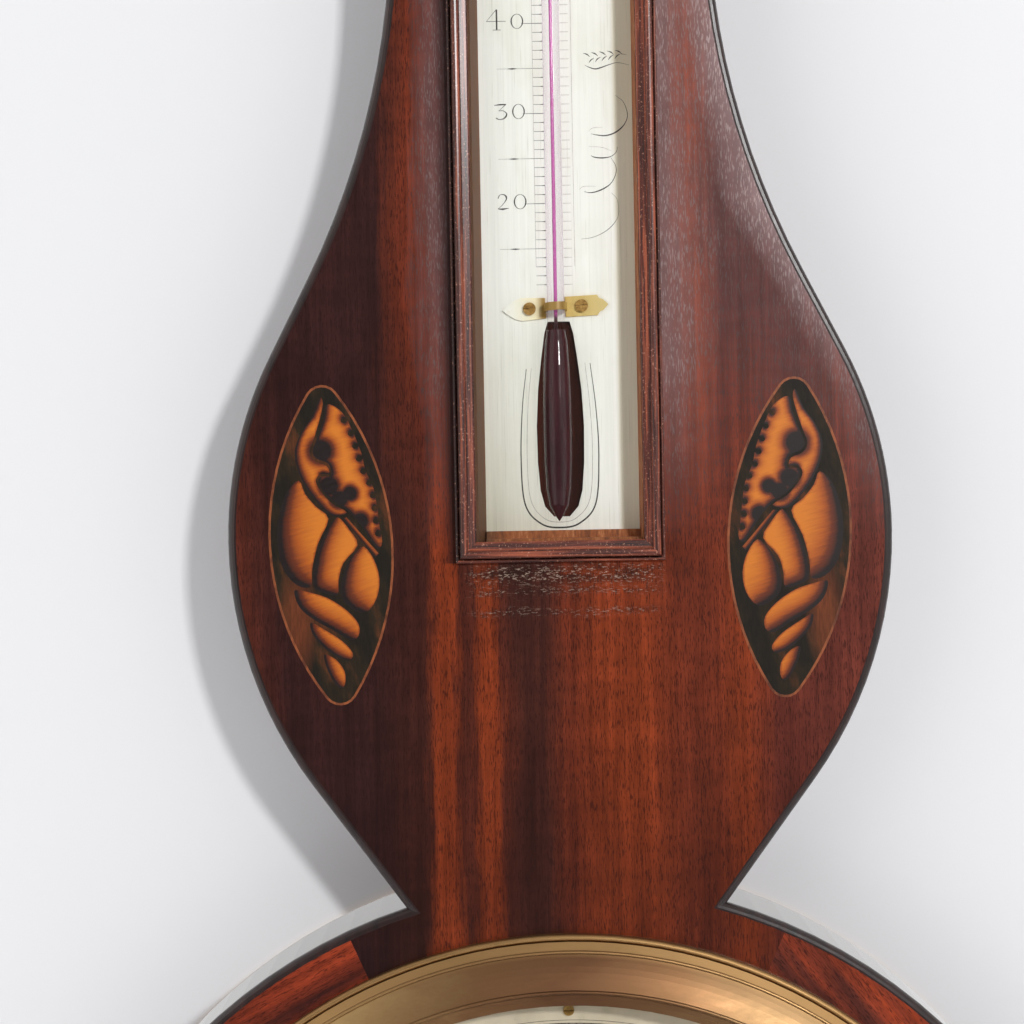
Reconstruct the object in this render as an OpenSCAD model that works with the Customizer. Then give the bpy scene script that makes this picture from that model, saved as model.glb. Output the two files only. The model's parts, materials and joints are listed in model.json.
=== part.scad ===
// Banjo barometer: a wheel barometer in a banjo shaped mahogany case, with a boxed
// thermometer in the trunk, a siphon tube behind and shell marquetry on the swell.
// X is to the right, Z is up, the face looks along -Y and the wall is the plane Y = 0.
// Lengths are in millimetres. The origin is the centre of the hanging hole at the wall.

/* [Case] */
// Depth of the case from the wall to the face of its veneer
case_depth = 30; // [29:0.5:36]
// Radius of the round body that holds the dial
roundel_r = 127; // [124:0.5:134]
// Thickness of the face veneer
veneer_t = 1.2; // [1:0.1:1.6]
// Width of the dark edging strip, seen from the front
edging_w = 2; // [1.5:0.1:2.6]
// Depth of the edging strip from the face
edging_t = 2.4; // [2:0.1:3.2]
// Rounding of the edging's front arris
edging_round = 1.6; // [0.8:0.1:1.8]
// Angle of the radial veneer joints from the upright
joint_a = 24; // [23:0.5:30]

/* [Trunk] */
// Half width of the neck
neck_half = 37.4; // [36:0.2:40]
// Half width of the swell below the neck
bulge_half = 78; // [75:0.5:84]
// Height of the widest point of the swell above the dial's centre
bulge_z = 208; // [204:1:214]
// Radius of the hollow curve from neck to swell
neck_r = 190; // [175:1:205]
// Slope of the straight run between hollow and swell, from the upright
neck_a = 27; // [25:0.5:30]
// Radius of the upper half of the swell
upper_r = 94.5; // [90:0.5:100]
// Radius of the lower half of the swell
lower_r = 97.5; // [92:0.5:104]
// Angle through which the lower half of the swell turns
notch_a = 36.5; // [34:0.5:40]

/* [Head and tail] */
// Half width of the head
head_half = 52; // [48:0.5:58]
// Height of the ogee between neck and head
ogee_h = 44; // [40:1:52]
// Plain neck between the thermometer frame and the ogee
ogee_gap = 16; // [14:1:22]
// Slope of the pediment
pediment_slope = 25; // [20:1:30]
// Half width of the gap in the pediment
pediment_gap = 13; // [12.5:0.5:16]
// Width of the finial's plinth
plinth_w = 22; // [18:0.5:24]
// Height of the finial's plinth
plinth_h = 20; // [16:0.5:26]
// Height of the finial
finial_h = 56; // [46:1:70]
// Height of the cornice across its slope
cornice_h = 11; // [9:0.5:14]
// How far the cornice stands in front of the face
cornice_reach = 14; // [12:0.5:18]
// Radius of the tail's swell
tail_r = 50; // [47:0.5:54]
// Distance from the edge of the round body to the centre of the tail's swell
tail_drop = 35; // [33:0.5:40]
// Angle of the tail's shoulder
tail_a = 28; // [26:0.5:32]
// Height of the foot block
foot_h = 14; // [10:0.5:18]

/* [Dial] */
// Width of the veneered rim outside the bezel
rim_w = 12; // [11.5:0.5:15]
// Width of the bezel, from its outer edge to the dial that shows
bezel_w = 15.8; // [15:0.2:20]
// Depth of the dial's back below the face
dial_drop = 5; // [4.5:0.1:6]
// Thickness of the dial plate
dial_t = 1.5; // [1:0.1:1.8]
// Thickness of the wood behind the dial
web_t = 5; // [4:0.5:6]
// Height of the bezel above the face
bezel_h = 7.2; // [6.8:0.1:9]
// Thickness of the dial glass
dial_glass_t = 1.8; // [1.5:0.1:2]
// Length of the pointer from its centre
pointer_len = 78; // [60:1:90]
// Length of the set hand from its centre
set_len = 74; // [60:1:90]
// Thickness of each hand
hand_t = 1; // [0.6:0.1:1.1]

/* [Thermometer] */
// Half width of the glazed frame
frame_half = 24.5; // [22.5:0.5:28]
// Height of the frame's lower edge above the dial's centre
frame_bottom = 202; // [190:1:210]
// Length of the frame
frame_len = 318; // [300:1:330]
// Width of the frame's moulding
frame_w = 4.9; // [4.5:0.1:6]
// Depth of the scale's pocket below the face
pocket_depth = 9; // [8.5:0.1:10]
// Width of the left lining slip at the foot of the pocket's wall
slip_w = 2.3; // [1:0.1:2.6]
// Width of the right lining slip
right_slip_w = 0.5; // [0.4:0.1:2.4]
// Height of the sill at each end of the pocket
sill_h = 2.4; // [1.5:0.1:3]
// Thickness of the scale plate
plate_t = 1.2; // [0.8:0.1:1.6]
// Thickness of the thermometer glass
pane_t = 1.1; // [0.9:0.1:1.4]
// Radius of the thermometer's stem
stem_r = 2.05; // [1.6:0.05:2.4]
// Radius of the thermometer's bulb
bulb_r = 3.75; // [3:0.05:4]
// Height of the bulb's tip above the frame's lower edge
bulb_lift = 9.1; // [8.6:0.1:14]
// Length of the bulb
bulb_len = 47.8; // [40:0.1:52]
// Length of one degree on the scale
degree = 2.145; // [1.9:0.001:2.2]
// Temperature shown by the spirit, in Fahrenheit
reading = 62; // [30:1:100]

/* [Movement] */
// Turn of the pointer for one inch of mercury, in degrees
inch_turn = 110; // [100:1:120]
// Outer radius of the siphon tube
siphon_r = 4.75; // [4.2:0.05:5]
// Bore radius of the siphon tube
siphon_bore = 3; // [2.6:0.05:3.2]
// Sideways place of the long limb
long_x = 21; // [20:0.5:24]
// Distance of the tubes from the wall
tube_d = 11; // [10.6:0.1:11.4]
// Depth of the siphon's bend below the dial's centre
bend_drop = 160; // [154:1:166]
// Depth of the mercury's lower level below the dial's centre
level_drop = 100; // [94:1:106]
// Height of the mercury column
column_h = 749.3; // [735:0.1:760]
// Empty length above the mercury in the long limb
vacuum_h = 23.7; // [20:0.1:30]
// Height of the short limb above the mercury's lower level
short_limb = 72; // [66:1:78]
// Height of the counterweight's foot above the mercury's lower level
weight_rise = 20; // [18:1:24]
// Length of the float and of its counterweight
float_len = 40; // [38:0.5:46]
// Radius of the silk thread
thread_r = 0.3; // [0.2:0.05:0.35]
// Radius of the pointer's arbor
arbor_r = 1; // [0.8:0.05:1.2]
// Wall of the set hand's pipe
pipe_wall = 0.94; // [0.7:0.02:1.1]
// Running radius of the set hand's pulley
set_pulley_r = 12; // [10:0.5:13]
// Running radius of the key's pulley
key_pulley_r = 8; // [6:0.5:9]
// Radius of the set cord
cord_r = 0.6; // [0.4:0.05:0.7]
// Radius of the key's arbor
key_arbor_r = 1.5; // [1.2:0.05:1.8]
// Radius of the set key's knob
knob_r = 5.5; // [5:0.1:6]

/* [Back] */
// Half width of the movement chamber
chamber_half = 45; // [40:0.5:48]
// Height of the chamber's top above the dial's centre
chamber_top = 45; // [40:0.5:50]
// Depth of the chamber's foot below the dial's centre
chamber_drop = 100; // [96:0.5:106]
// Lap of the back door on the case
door_lap = 5; // [4.5:0.1:7]
// Thickness of the back door
door_t = 4; // [3.6:0.1:4.2]
// Thickness of the covers over the tube
cover_t = 3; // [2.5:0.1:3.2]
// Lap of the covers on the case
cover_lap = 3.4; // [2.8:0.1:4.4]
// Length of the door's turn button
button_len = 24; // [20:0.5:28]
// Width of the door's turn button
button_w = 9; // [7:0.5:11]
// Thickness of the door's turn button
button_t = 2; // [1.5:0.1:2.4]
// Radius of the hanging hole
hang_r = 4; // [3:0.1:5]
// Thickness of the hanging plate
hang_t = 2; // [1.5:0.1:3]
// Width of the hanging plate
hang_w = 20; // [16:0.5:22]
// Height of the hanging hole above the plinth's seat
hang_rise = 30; // [27:0.5:36]

/* [Hinges] */
// Radius of the hinge knuckles
knuckle_r = 1.5; // [1.3:0.05:1.55]
// Radius of the hinge pins
pin_r = 0.6; // [0.5:0.02:0.8]
// Thickness of the hinge leaves
leaf_t = 0.8; // [0.6:0.05:0.95]
// Length of the bezel's hinge
bezel_hinge_len = 24; // [18:0.5:28]
// Length of the thermometer frame's hinge
frame_hinge_len = 30; // [20:0.5:36]
// Length of each door hinge
door_hinge_len = 32; // [24:0.5:40]
// Distance of each door hinge from the end of the door
door_hinge_inset = 30; // [24:1:40]
// Width of the hinge leaves fixed to the case
case_leaf_w = 7; // [5:0.1:7.2]

/* [Inlay] */
// Half width of an inlaid oval
oval_half = 14.6; // [13.5:0.1:16]
// Half height of an inlaid oval
oval_tall = 37.6; // [35.5:0.1:40]
// Rounding of the oval's tips
oval_tip = 4.2; // [2.4:0.1:5]
// Distance of the oval's centre inside the swell's edge
oval_inset = 24.3; // [22:0.1:26]
// Outward lean of the oval
oval_lean = 2.7; // [0:0.1:5]
// Width of the pale string round the oval
string_w = 0.55; // [0.4:0.05:0.8]

/* [Fits] */
// Running clearance on a radius
run_gap = 0.06; // [0.03:0.01:0.1]
// Clearance round pieces that are let into the wood
inlet_gap = 0.2; // [0.1:0.02:0.3]

/* [Hidden] */
$fn = 64;
over = 1;

// Planes counted from the wall
veneer_floor = case_depth - veneer_t;
edging_floor = case_depth - edging_t;
dial_floor = case_depth - dial_drop;
dial_face = dial_floor + dial_t;
web_back = dial_floor - web_t;
pocket_floor = case_depth - pocket_depth;
plate_face = pocket_floor + plate_t;

// Dial, bezel and hands
bezel_r = roundel_r - rim_w;
sight_r = bezel_r - bezel_w;
dial_r = sight_r + 4;
recess_r = dial_r + 0.3;
glass_r = sight_r + 2.8;
ring_h = 1.9;
glass_h = bezel_h - 4.6;
dial_screw_at = sight_r - 3;
set_hand_d = dial_face + 1.5;
pointer_d = set_hand_d + hand_t + 1.4;
boss_h = 1.6;
set_rest = 28;

// Float movement
pulley_pitch = 25.4 / 2 / (inch_turn * PI / 180);
groove_r = pulley_pitch - thread_r - 0.15;
flange_r = groove_r + 1.44;
bend_r = (long_x - pulley_pitch) / 2;
tube_top = level_drop - short_limb;
tube_end = column_h - level_drop + vacuum_h;
mercury_r = siphon_bore - 0.1;
float_r = siphon_bore - 0.6;
bead_bore = thread_r + 0.3;
weight_z = weight_rise - level_drop;
guide_r = 3.5;
guide_bore = 2.5;
thread_in = float_len * 21 / 40;
pulley_half = 1.6;
arbor_back = tube_d - 4;
bridge_d0 = arbor_back - 1;
bridge_t = 2.5;
bridge_at = 20;
bridge_half_w = 4.5;
post_r = 2.5;
clamp_z = -level_drop + 40;
clamp_tall = 8;
clamp_t = 0.8;

// Set hand train
pipe_bore = arbor_r + run_gap;
pipe_r = pipe_bore + pipe_wall;
bush_r = pipe_r + 2.5;
cord_d = web_back - 1.7;
cord_gap = 0.3;
pulley_rim = 1.2;
set_pulley_t = 2.6;
key_z = -(bezel_r + 9);
key_bush_r = key_arbor_r + 2;
knob_h = 11;

// Outline of the case
head_corner = tube_end - 5;
ogee_bottom = frame_bottom + frame_len + ogee_gap;
ogee_top = ogee_bottom + ogee_h;
ogee_a = 2 * atan((head_half - neck_half) / ogee_h);
ogee_r = ogee_h / (2 * sin(ogee_a));
neck_reach = neck_half + neck_r - bulge_half + upper_r;
neck_z = bulge_z + (neck_r + upper_r - neck_reach * cos(neck_a)) / sin(neck_a);
tail_z = -(roundel_r + tail_drop);
tail_bottom = tail_z - tail_r * 0.76;
seat_z = rake_z(pediment_gap) - 10.2;
hang_z = seat_z + hang_rise;
plinth_back = case_depth / 2 - 3;
plinth_front = case_depth + 3;
finial_d = (plinth_back + plinth_front) / 2;
spigot_r = 2.4;
spigot_h = 7.5;

// Thermometer
frame_top = frame_bottom + frame_len;
frame_mid = frame_bottom + frame_len / 2;
pocket_half = frame_half - frame_w;
pocket_bottom = frame_bottom + frame_w;
pocket_top = frame_top - frame_w;
rebate_w = 1.2;
rebate_h = 1.6;
plate_gap = 0.2;
tip_z = frame_bottom + bulb_lift;
bulb_top = tip_z + bulb_len;
zero_z = bulb_top - 14.8;
stem_end = pocket_top - 10;
stem_gap = 0.3;
bulb_gap = 0.1;
stem_d = plate_face + max(stem_r + stem_gap, bulb_r + bulb_gap - plate_t);
stem_bore = 0.45;
glass_wall = 0.3;
spirit_gap = 0.03;
clip_zs = [bulb_top + 3.3, stem_end - 14];
clip_turns = [-2.6, 1];
clip_reach = 12.6;
clip_half = 2.4;
clip_t = 0.6;
clip_screw_x = 6.2;

// Back
door_half = chamber_half + door_lap;
door_top = chamber_top + door_lap;
door_foot = -chamber_drop - door_lap;
channel_half = siphon_r + 0.85;
channel_roof = tube_d + siphon_r + 0.45;
channel_top = tube_end + 2;
tail_cavity_x0 = -key_pulley_r - 4;
tail_cavity_x1 = long_x + siphon_r + 1.75;
tail_cavity_foot = -bend_drop - bend_r - siphon_r - 6;
button_x = -door_half - 6.5;
button_z = (door_top + door_foot) / 2;
button_pocket_r = button_len / 2 + 1;
plate_foot = seat_z - 26;
plate_head = hang_z + 10;

// Hinge axes
knuckle_gap = 0.3;
knuckle_reach = knuckle_r + knuckle_gap;
bezel_axis = bezel_r + knuckle_reach;
frame_axis = frame_top + knuckle_reach;
door_axis = door_half + knuckle_reach;
door_swing = norm([knuckle_reach, knuckle_r]) + inlet_gap;
frame_leaf_w = knuckle_reach + frame_w - rebate_w - 0.1;
bezel_leaf_w = knuckle_reach + 7;
door_leaf_w = knuckle_reach + 9;
door_hinge_zs = [door_foot + door_hinge_inset, door_top - door_hinge_inset];

// Screws in the back, each as [x, z, face, head radius, shank radius, length]
cover_zs = [for (k = [0:3]) door_top + 12 + k * (channel_top - door_top - 24) / 3];
cover_screw_x = channel_half + cover_lap / 2;
tail_screw_xs = [tail_cavity_x0 - cover_lap / 2, tail_cavity_x1 + cover_lap / 2];
back_screw_list = concat(
    [for (z = cover_zs, s = [-1, 1]) [long_x + s * cover_screw_x, z, 0, 1.5, 0.7, 8]],
    [for (z = [door_foot - 6, tail_cavity_foot + 6], x = tail_screw_xs) [x, z, 0, 1.5, 0.7, 8]],
    [for (z = [plate_foot + 6, seat_z - 7]) [0, z, 0, 3, 1.6, 14]]);

// Marquetry shell of the left oval: outlines of its pieces, from the oval's centre
shell_pieces = [
    [[-6.6, 15.6], [-9.8, 12.8], [-12, 6.6], [-12.5, 0.4], [-11.4, -5.2], [-8.6, -8.8], [-5.4, -9.4],
        [-4.8, -5.4], [-3, 0.6], [-0.2, 6.2], [-2.9, 9.2], [-5.3, 12.4]],
    [[2.4, 6.2], [1, 5.8], [-1.6, 2], [-3.8, -3.2], [-4.8, -8.6], [-3.6, -10.6], [0.6, -11.8],
        [1.2, -8.4], [2.6, -4.4], [6.2, -0.4], [4.6, 3.2]],
    [[7.6, -0.8], [9.8, -4], [10.8, -8.6], [9.8, -13.2], [7.2, -16.2], [4.4, -15.6], [1.8, -12.8],
        [1.8, -8.8], [3.4, -4.8], [5.4, -2.2]],
    [[-9, -9.9], [-5.8, -10.7], [-1.6, -12.3], [2.6, -15.4], [5.2, -18.8], [5, -21.6], [3, -22.4],
        [-1, -19.8], [-5.6, -16.8], [-8.2, -14.2], [-9.2, -11.6]],
    [[-5.8, -17.8], [-2.6, -19.8], [1.2, -22.6], [3.4, -25.6], [2.4, -27.2], [-0.4, -26.2],
        [-3.2, -23.8], [-5.2, -21.4], [-6, -19.4]],
    [[-3.2, -25.4], [-0.6, -26.8], [1.2, -29.6], [1.2, -32.4], [0.2, -33.6], [-1.2, -32.4],
        [-2.6, -29.4], [-3.2, -27.2]]];
shell_strap = [[-0.4, 34.6], [-2.4, 30.4], [-5.2, 26.8], [-7, 22.8], [-6.8, 18.6], [-5.2, 14.2], [-2.2, 9.6],
    [0.8, 6.8], [4.2, 7.4], [0.8, 9.8], [-1.6, 12.8], [-2.6, 15.2], [-1.4, 16.8], [0.6, 16.7], [0.2, 18.6],
    [-2.4, 19.8], [-3.5, 22.2], [-2.2, 25.6], [-0.6, 30], [0.2, 33.2]];
shell_lip = [[0.8, 32.6], [0.2, 29.6], [-1.5, 25.4], [-2.9, 22.2], [-2, 20.4], [0.6, 19.1], [1.1, 16.3],
    [-1.2, 16.2], [-2, 15], [-1, 12.6], [1.2, 10.2], [4.4, 7.8], [7.4, 4], [10.6, -1.4], [12, 0], [11.6, 4],
    [11.3, 8.4], [10.8, 12.6], [9.2, 16.8], [8.5, 21], [6.6, 26.8], [4.8, 30.6], [2.4, 32.7]];
shell_strip = [[3.1, 6.1], [4, 6.3], [11, -2.6], [10.2, -3.6]];
lip_teeth = [[5.4, 29.2], [6.9, 26], [7.7, 23], [8.4, 20], [9.2, 17], [10.4, 14.2], [11.1, 11.2],
    [11.3, 8.2], [11.4, 5.2], [11.7, 2.2]];
tooth_w = 0.9;
tooth_deep = 1.5;
tooth_lean = 20;
shell_steps = 3;

// Radii up the thermometer's bulb, at shares of its length
bulb_shape = [[0, 0.1], [0.03, 0.36], [0.08, 0.7], [0.16, 0.88], [0.3, 0.97], [0.45, 1], [0.62, 0.98],
    [0.78, 0.91], [0.9, 0.8], [0.96, 0.68]];
// Half widths of the plate's slot under the bulb, at the same shares, and how far right it is cut
slot_shape = [[0.03, 0.5], [0.08, 1.06], [0.16, 1.33], [0.3, 1.47], [0.48, 1.5], [0.66, 1.38], [0.82, 1.14],
    [0.94, 0.92], [1, 0.7]];
slot_shift = 0.7;

// Curves

function arc(c, r, a0, a1, n, first = 0) =
    [for (i = [first:n]) c + r * [cos(a0 + (a1 - a0) * i / n), sin(a0 + (a1 - a0) * i / n)]];

function mirrored(points) = [for (i = [len(points) - 1:-1:0]) [-points[i][0], points[i][1]]];

// Closed smooth curve through the points
function smooth(p, steps) = let (m = len(p))
    [for (i = [0:m - 1], k = [0:steps - 1])
        let (t = k / steps, a = p[(i + m - 1) % m], b = p[i], c = p[(i + 1) % m], d = p[(i + 2) % m])
        b + 0.5 * ((c - a) * t + (2 * a - 5 * b + 4 * c - d) * t ^ 2 + (3 * b - a - 3 * c + d) * t ^ 3)];

// Where a line from p along dir first meets the circle of radius r about the dial's centre
function to_circle(p, dir, r) = p + dir * (-(p * dir) - sqrt((p * dir) ^ 2 - p * p + r * r));

function angle_of(p) = atan2(p[1], p[0]);

function rake_z(x) = head_corner + (head_half - x) * tan(pediment_slope);

function upper_notch(o) = to_circle(
    [bulge_half - lower_r, bulge_z] + (lower_r - o) * [cos(notch_a), -sin(notch_a)],
    [-sin(notch_a), -cos(notch_a)], roundel_r - o);

function lower_notch(o) = to_circle(
    [0, tail_z] + (tail_r - o) * [cos(tail_a), sin(tail_a)], [-sin(tail_a), cos(tail_a)], roundel_r - o);

// Right side of the case from pediment to foot, drawn in by o
function side(o) = concat(
    [[head_half - o, rake_z(head_half - o)]],
    arc([head_half - ogee_r, ogee_top], ogee_r - o, 0, -ogee_a, 6),
    arc([neck_half + ogee_r, ogee_bottom], ogee_r + o, 180 - ogee_a, 180, 6, 1),
    arc([neck_half + neck_r, neck_z], neck_r + o, 180, 180 + neck_a, 12),
    arc([bulge_half - upper_r, bulge_z], upper_r - o, neck_a, 0, 12),
    arc([bulge_half - lower_r, bulge_z], lower_r - o, 0, -notch_a, 12, 1),
    arc([0, 0], roundel_r - o, angle_of(upper_notch(o)), angle_of(lower_notch(o)), 44),
    arc([0, tail_z], tail_r - o, tail_a, -asin((tail_z - tail_bottom) / (tail_r - o)), 14));

function case_outline(o) = concat(side(o), mirrored(side(o)),
    [[-pediment_gap, rake_z(pediment_gap)], [-pediment_gap, seat_z], [pediment_gap, seat_z],
        [pediment_gap, rake_z(pediment_gap)]]);

// Pointed oval of two long arcs with rounded tips, drawn in by o
function pointed_oval(o) = let (
    a = oval_half - o,
    b = oval_tall - o,
    tip = oval_tip - o,
    r = (a ^ 2 + (b - tip) ^ 2 - tip ^ 2) / (2 * (a - tip)),
    turn = atan2(b - tip, r - a))
    concat(
        arc([a - r, 0], r, -turn, turn, 20),
        arc([0, b - tip], tip, turn, 180 - turn, 6, 1),
        arc([r - a, 0], r, 180 - turn, 180 + turn, 20, 1),
        arc([0, tip - b], tip, 180 + turn, 360 - turn, 6, 1));

// Placing

module hang() translate([0, 0, -hang_z]) children();

module slab(d0, d1) translate([0, -d0, 0]) rotate([90, 0, 0]) linear_extrude(d1 - d0) children();

module turned() rotate([90, 0, 0]) rotate_extrude() children();

module rod(r, d0, d1, x = 0, z = 0) translate([x, -d0, z]) rotate([90, 0, 0]) cylinder(r = r, h = d1 - d0);

module block(x0, x1, d0, d1, z0, z1) translate([x0, -d1, z0]) cube([x1 - x0, d1 - d0, z1 - z0]);

module both_sides() {
    children();
    mirror([1, 0, 0]) children();
}

module at_left_oval() translate([oval_inset - bulge_half, bulge_z - 1.2]) rotate(oval_lean) children();

// Butt hinges, drawn with the axis along Z, the case leaf towards +X and the moving leaf towards -X

module fixed_leaf(length, leaf_w, leaf_y) {
    finger = length * 0.4 - 2 * knuckle_gap;
    translate([0, 0, -finger / 2]) cylinder(r = knuckle_r, h = finger);
    translate([0, 0, -length / 2]) cylinder(r = pin_r, h = length);
    translate([0, leaf_y, -finger / 2]) cube([knuckle_reach + over, leaf_t, finger]);
    translate([knuckle_reach, leaf_y, -length / 2]) cube([leaf_w - knuckle_reach, leaf_t, length]);
}

module moving_leaf(length, leaf_w, leaf_y) {
    finger = length * 0.3;
    difference() {
        union() {
            for (z = [-length / 2, length / 2 - finger]) {
                translate([0, 0, z]) cylinder(r = knuckle_r, h = finger);
                translate([-knuckle_reach - over, leaf_y, z]) cube([knuckle_reach + over, leaf_t, finger]);
            }
            translate([-leaf_w, leaf_y, -length / 2]) cube([leaf_w - knuckle_reach, leaf_t, length]);
        }
        translate([0, 0, -length]) cylinder(r = pin_r + run_gap, h = 2 * length);
    }
}

module leaf_recess(length, leaf_w, leaf_y, deep) {
    translate([0, leaf_y, -length / 2 - inlet_gap])
        cube([leaf_w + inlet_gap, deep, length + 2 * inlet_gap]);
}

module knuckle_recess(length) translate([0, 0, -length / 2 - inlet_gap])
    cylinder(r = knuckle_reach, h = length + 2 * inlet_gap);

module at_bezel_hinge() translate([bezel_axis, -case_depth, 0]) children();

module at_frame_hinge() translate([0, -case_depth, frame_axis]) rotate([0, -90, 0]) children();

module at_door_hinges() for (z = door_hinge_zs) translate([door_axis, -knuckle_r, z]) children();

// Screws

module slotted_screw(head_r, shank_r, length) {
    difference() {
        union() {
            rod(head_r, 0, head_r * 0.5);
            rod(shank_r, head_r * 0.5, length);
        }
        translate([-head_r, -head_r * 0.25, -head_r * 0.12]) cube([2 * head_r, head_r, head_r * 0.24]);
    }
}

module screw_hole(head_r, shank_r, length) {
    rod(head_r, -over, head_r * 0.5);
    rod(shank_r, head_r * 0.4, length);
}

module front_screw(head_r, shank_r, length) {
    difference() {
        union() {
            rod(head_r, 0, head_r * 0.5);
            rod(shank_r, -length, 0);
        }
        translate([-head_r, -head_r, -head_r * 0.12]) cube([2 * head_r, head_r * 0.7, head_r * 0.24]);
    }
}

// Case

module hinge_cuts() {
    at_bezel_hinge() {
        leaf_recess(bezel_hinge_len, case_leaf_w, -over, leaf_t + over);
        knuckle_recess(bezel_hinge_len);
    }
    at_frame_hinge() {
        leaf_recess(frame_hinge_len, case_leaf_w, -over, leaf_t + over);
        knuckle_recess(frame_hinge_len);
    }
}

module carcass() {
    color("saddlebrown")
    difference() {
        union() {
            slab(0, edging_floor) polygon(case_outline(0));
            slab(edging_floor, veneer_floor) polygon(case_outline(edging_w));
        }
        rod(recess_r, dial_floor, case_depth + over);
        rod(bush_r, web_back - over, dial_floor + over);
        rod(key_bush_r, web_back - over, case_depth + over, 0, key_z);
        block(-chamber_half, chamber_half, door_t - over, web_back, -chamber_drop, chamber_top);
        block(-door_half - inlet_gap, door_axis + door_swing, -over, door_t, door_foot - inlet_gap,
            door_top + inlet_gap);
        block(-pocket_half, pocket_half, pocket_floor, case_depth, pocket_bottom, pocket_top);
        block(long_x - channel_half, long_x + channel_half, cover_t - over, channel_roof, chamber_top - over,
            channel_top);
        block(long_x - channel_half - cover_lap, long_x + channel_half + cover_lap, -over, cover_t, door_top,
            channel_top + cover_lap / 2);
        block(tail_cavity_x0, tail_cavity_x1, cover_t - over, web_back, tail_cavity_foot,
            over - chamber_drop);
        block(tail_cavity_x0 - cover_lap, tail_cavity_x1 + cover_lap, -over, cover_t,
            tail_cavity_foot - cover_lap, door_foot);
        block(-hang_w / 2, hang_w / 2, -over, hang_t, plate_foot, seat_z + over);
        rod(button_pocket_r, -over, button_t + inlet_gap, button_x, button_z);
        rod(1.5, 0, 12, button_x, button_z);
        for (s = back_screw_list) translate([s[0], 0, s[1]]) screw_hole(s[3], s[4], s[5]);
        for (a = [0:90:270]) rotate([0, a, 0]) rod(0.7, web_back + 1.2, dial_face, 0, dial_screw_at);
        for (z = [-bridge_at, bridge_at]) rod(0.8, web_back - over, web_back + 2.5, 0, z);
        at_door_hinges() {
            leaf_recess(door_hinge_len, door_leaf_w, knuckle_r - leaf_t, leaf_t + over);
            knuckle_recess(door_hinge_len);
        }
        hinge_cuts();
        clip_screw_holes();
    }
}

module veneer_sheet() {
    difference() {
        slab(veneer_floor, case_depth) intersection() {
            polygon(case_outline(edging_w));
            children();
        }
        rod(recess_r, veneer_floor - over, case_depth + over);
        block(-pocket_half, pocket_half, pocket_floor, case_depth + over, pocket_bottom, pocket_top);
        rod(key_bush_r, veneer_floor - over, case_depth + over, 0, key_z);
        both_sides() slab(veneer_floor - over, case_depth + over) at_left_oval() polygon(pointed_oval(0));
        hinge_cuts();
    }
}

module wedge(turn, half_a, reach) rotate(turn)
    polygon([[0, 0], [reach * tan(half_a), reach], [-reach * tan(half_a), reach]]);

module trunk_veneer() color("brown") veneer_sheet() wedge(0, joint_a, hang_z);

module tail_veneer() color("brown") veneer_sheet() wedge(180, joint_a, -tail_bottom + over);

module right_roundel_veneer() color("firebrick") veneer_sheet()
    polygon([[0, 0], roundel_r * [tan(joint_a), 1], roundel_r * [2, 1], roundel_r * [2, -1],
        roundel_r * [tan(joint_a), -1]]);

module left_roundel_veneer() color("firebrick") veneer_sheet()
    polygon([[0, 0], roundel_r * [-tan(joint_a), 1], roundel_r * [-2, 1], roundel_r * [-2, -1],
        roundel_r * [-tan(joint_a), -1]]);

// Edging strip lofted along the side of the case, with a rounded front arris
module edging_strip() {
    round_r = min(edging_round, edging_w * 0.9, edging_t * 0.9);
    section = concat([[edging_w, edging_floor], [0, edging_floor]],
        arc([round_r, case_depth - round_r], round_r, 180, 90, 4),
        [[edging_w, case_depth]]);
    rings = [for (s = section) [for (p = side(s[0])) [p[0], -s[1], p[1]]]];
    m = len(section);
    n = len(rings[0]);
    skin = [for (k = [0:m - 1], i = [0:n - 2], half = [0, 1])
        let (a = k * n + i, b = (k + 1) % m * n + i)
        half == 0 ? [a, a + 1, b + 1] : [a, b + 1, b]];
    ends = [[for (k = [0:m - 1]) k * n], [for (k = [m - 1:-1:0]) k * n + n - 1]];
    polyhedron([for (ring = rings, p = ring) p], concat(skin, ends));
}

module right_edging() color("black") edging_strip();

module left_edging() color("black") mirror([1, 0, 0]) edging_strip();

// Marquetry

module shell_outlines() {
    for (piece = shell_pieces) polygon(smooth(piece, shell_steps));
    polygon(smooth(shell_strap, shell_steps));
    difference() {
        polygon(smooth(shell_lip, shell_steps));
        polygon(smooth(shell_strap, shell_steps));
        for (p = lip_teeth) translate(p) rotate(tooth_lean) {
            square([tooth_deep, tooth_w], center = true);
            translate([-tooth_deep / 2, 0]) circle(d = tooth_w * 1.3, $fn = 12);
        }
    }
    polygon(shell_strip);
}

module inlay_strings() color("burlywood") both_sides()
    slab(veneer_floor, case_depth) at_left_oval() difference() {
        polygon(pointed_oval(0));
        polygon(pointed_oval(string_w));
    }

module inlay_grounds() color("darkslategray") both_sides() {
    slab(veneer_floor, case_depth - veneer_t / 2) at_left_oval() polygon(pointed_oval(string_w));
    slab(case_depth - veneer_t / 2, case_depth) at_left_oval() difference() {
        polygon(pointed_oval(string_w));
        shell_outlines();
    }
}

module shell_inlays() color("goldenrod") both_sides()
    slab(case_depth - veneer_t / 2, case_depth) at_left_oval() shell_outlines();

// Pediment, finial and foot

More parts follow.
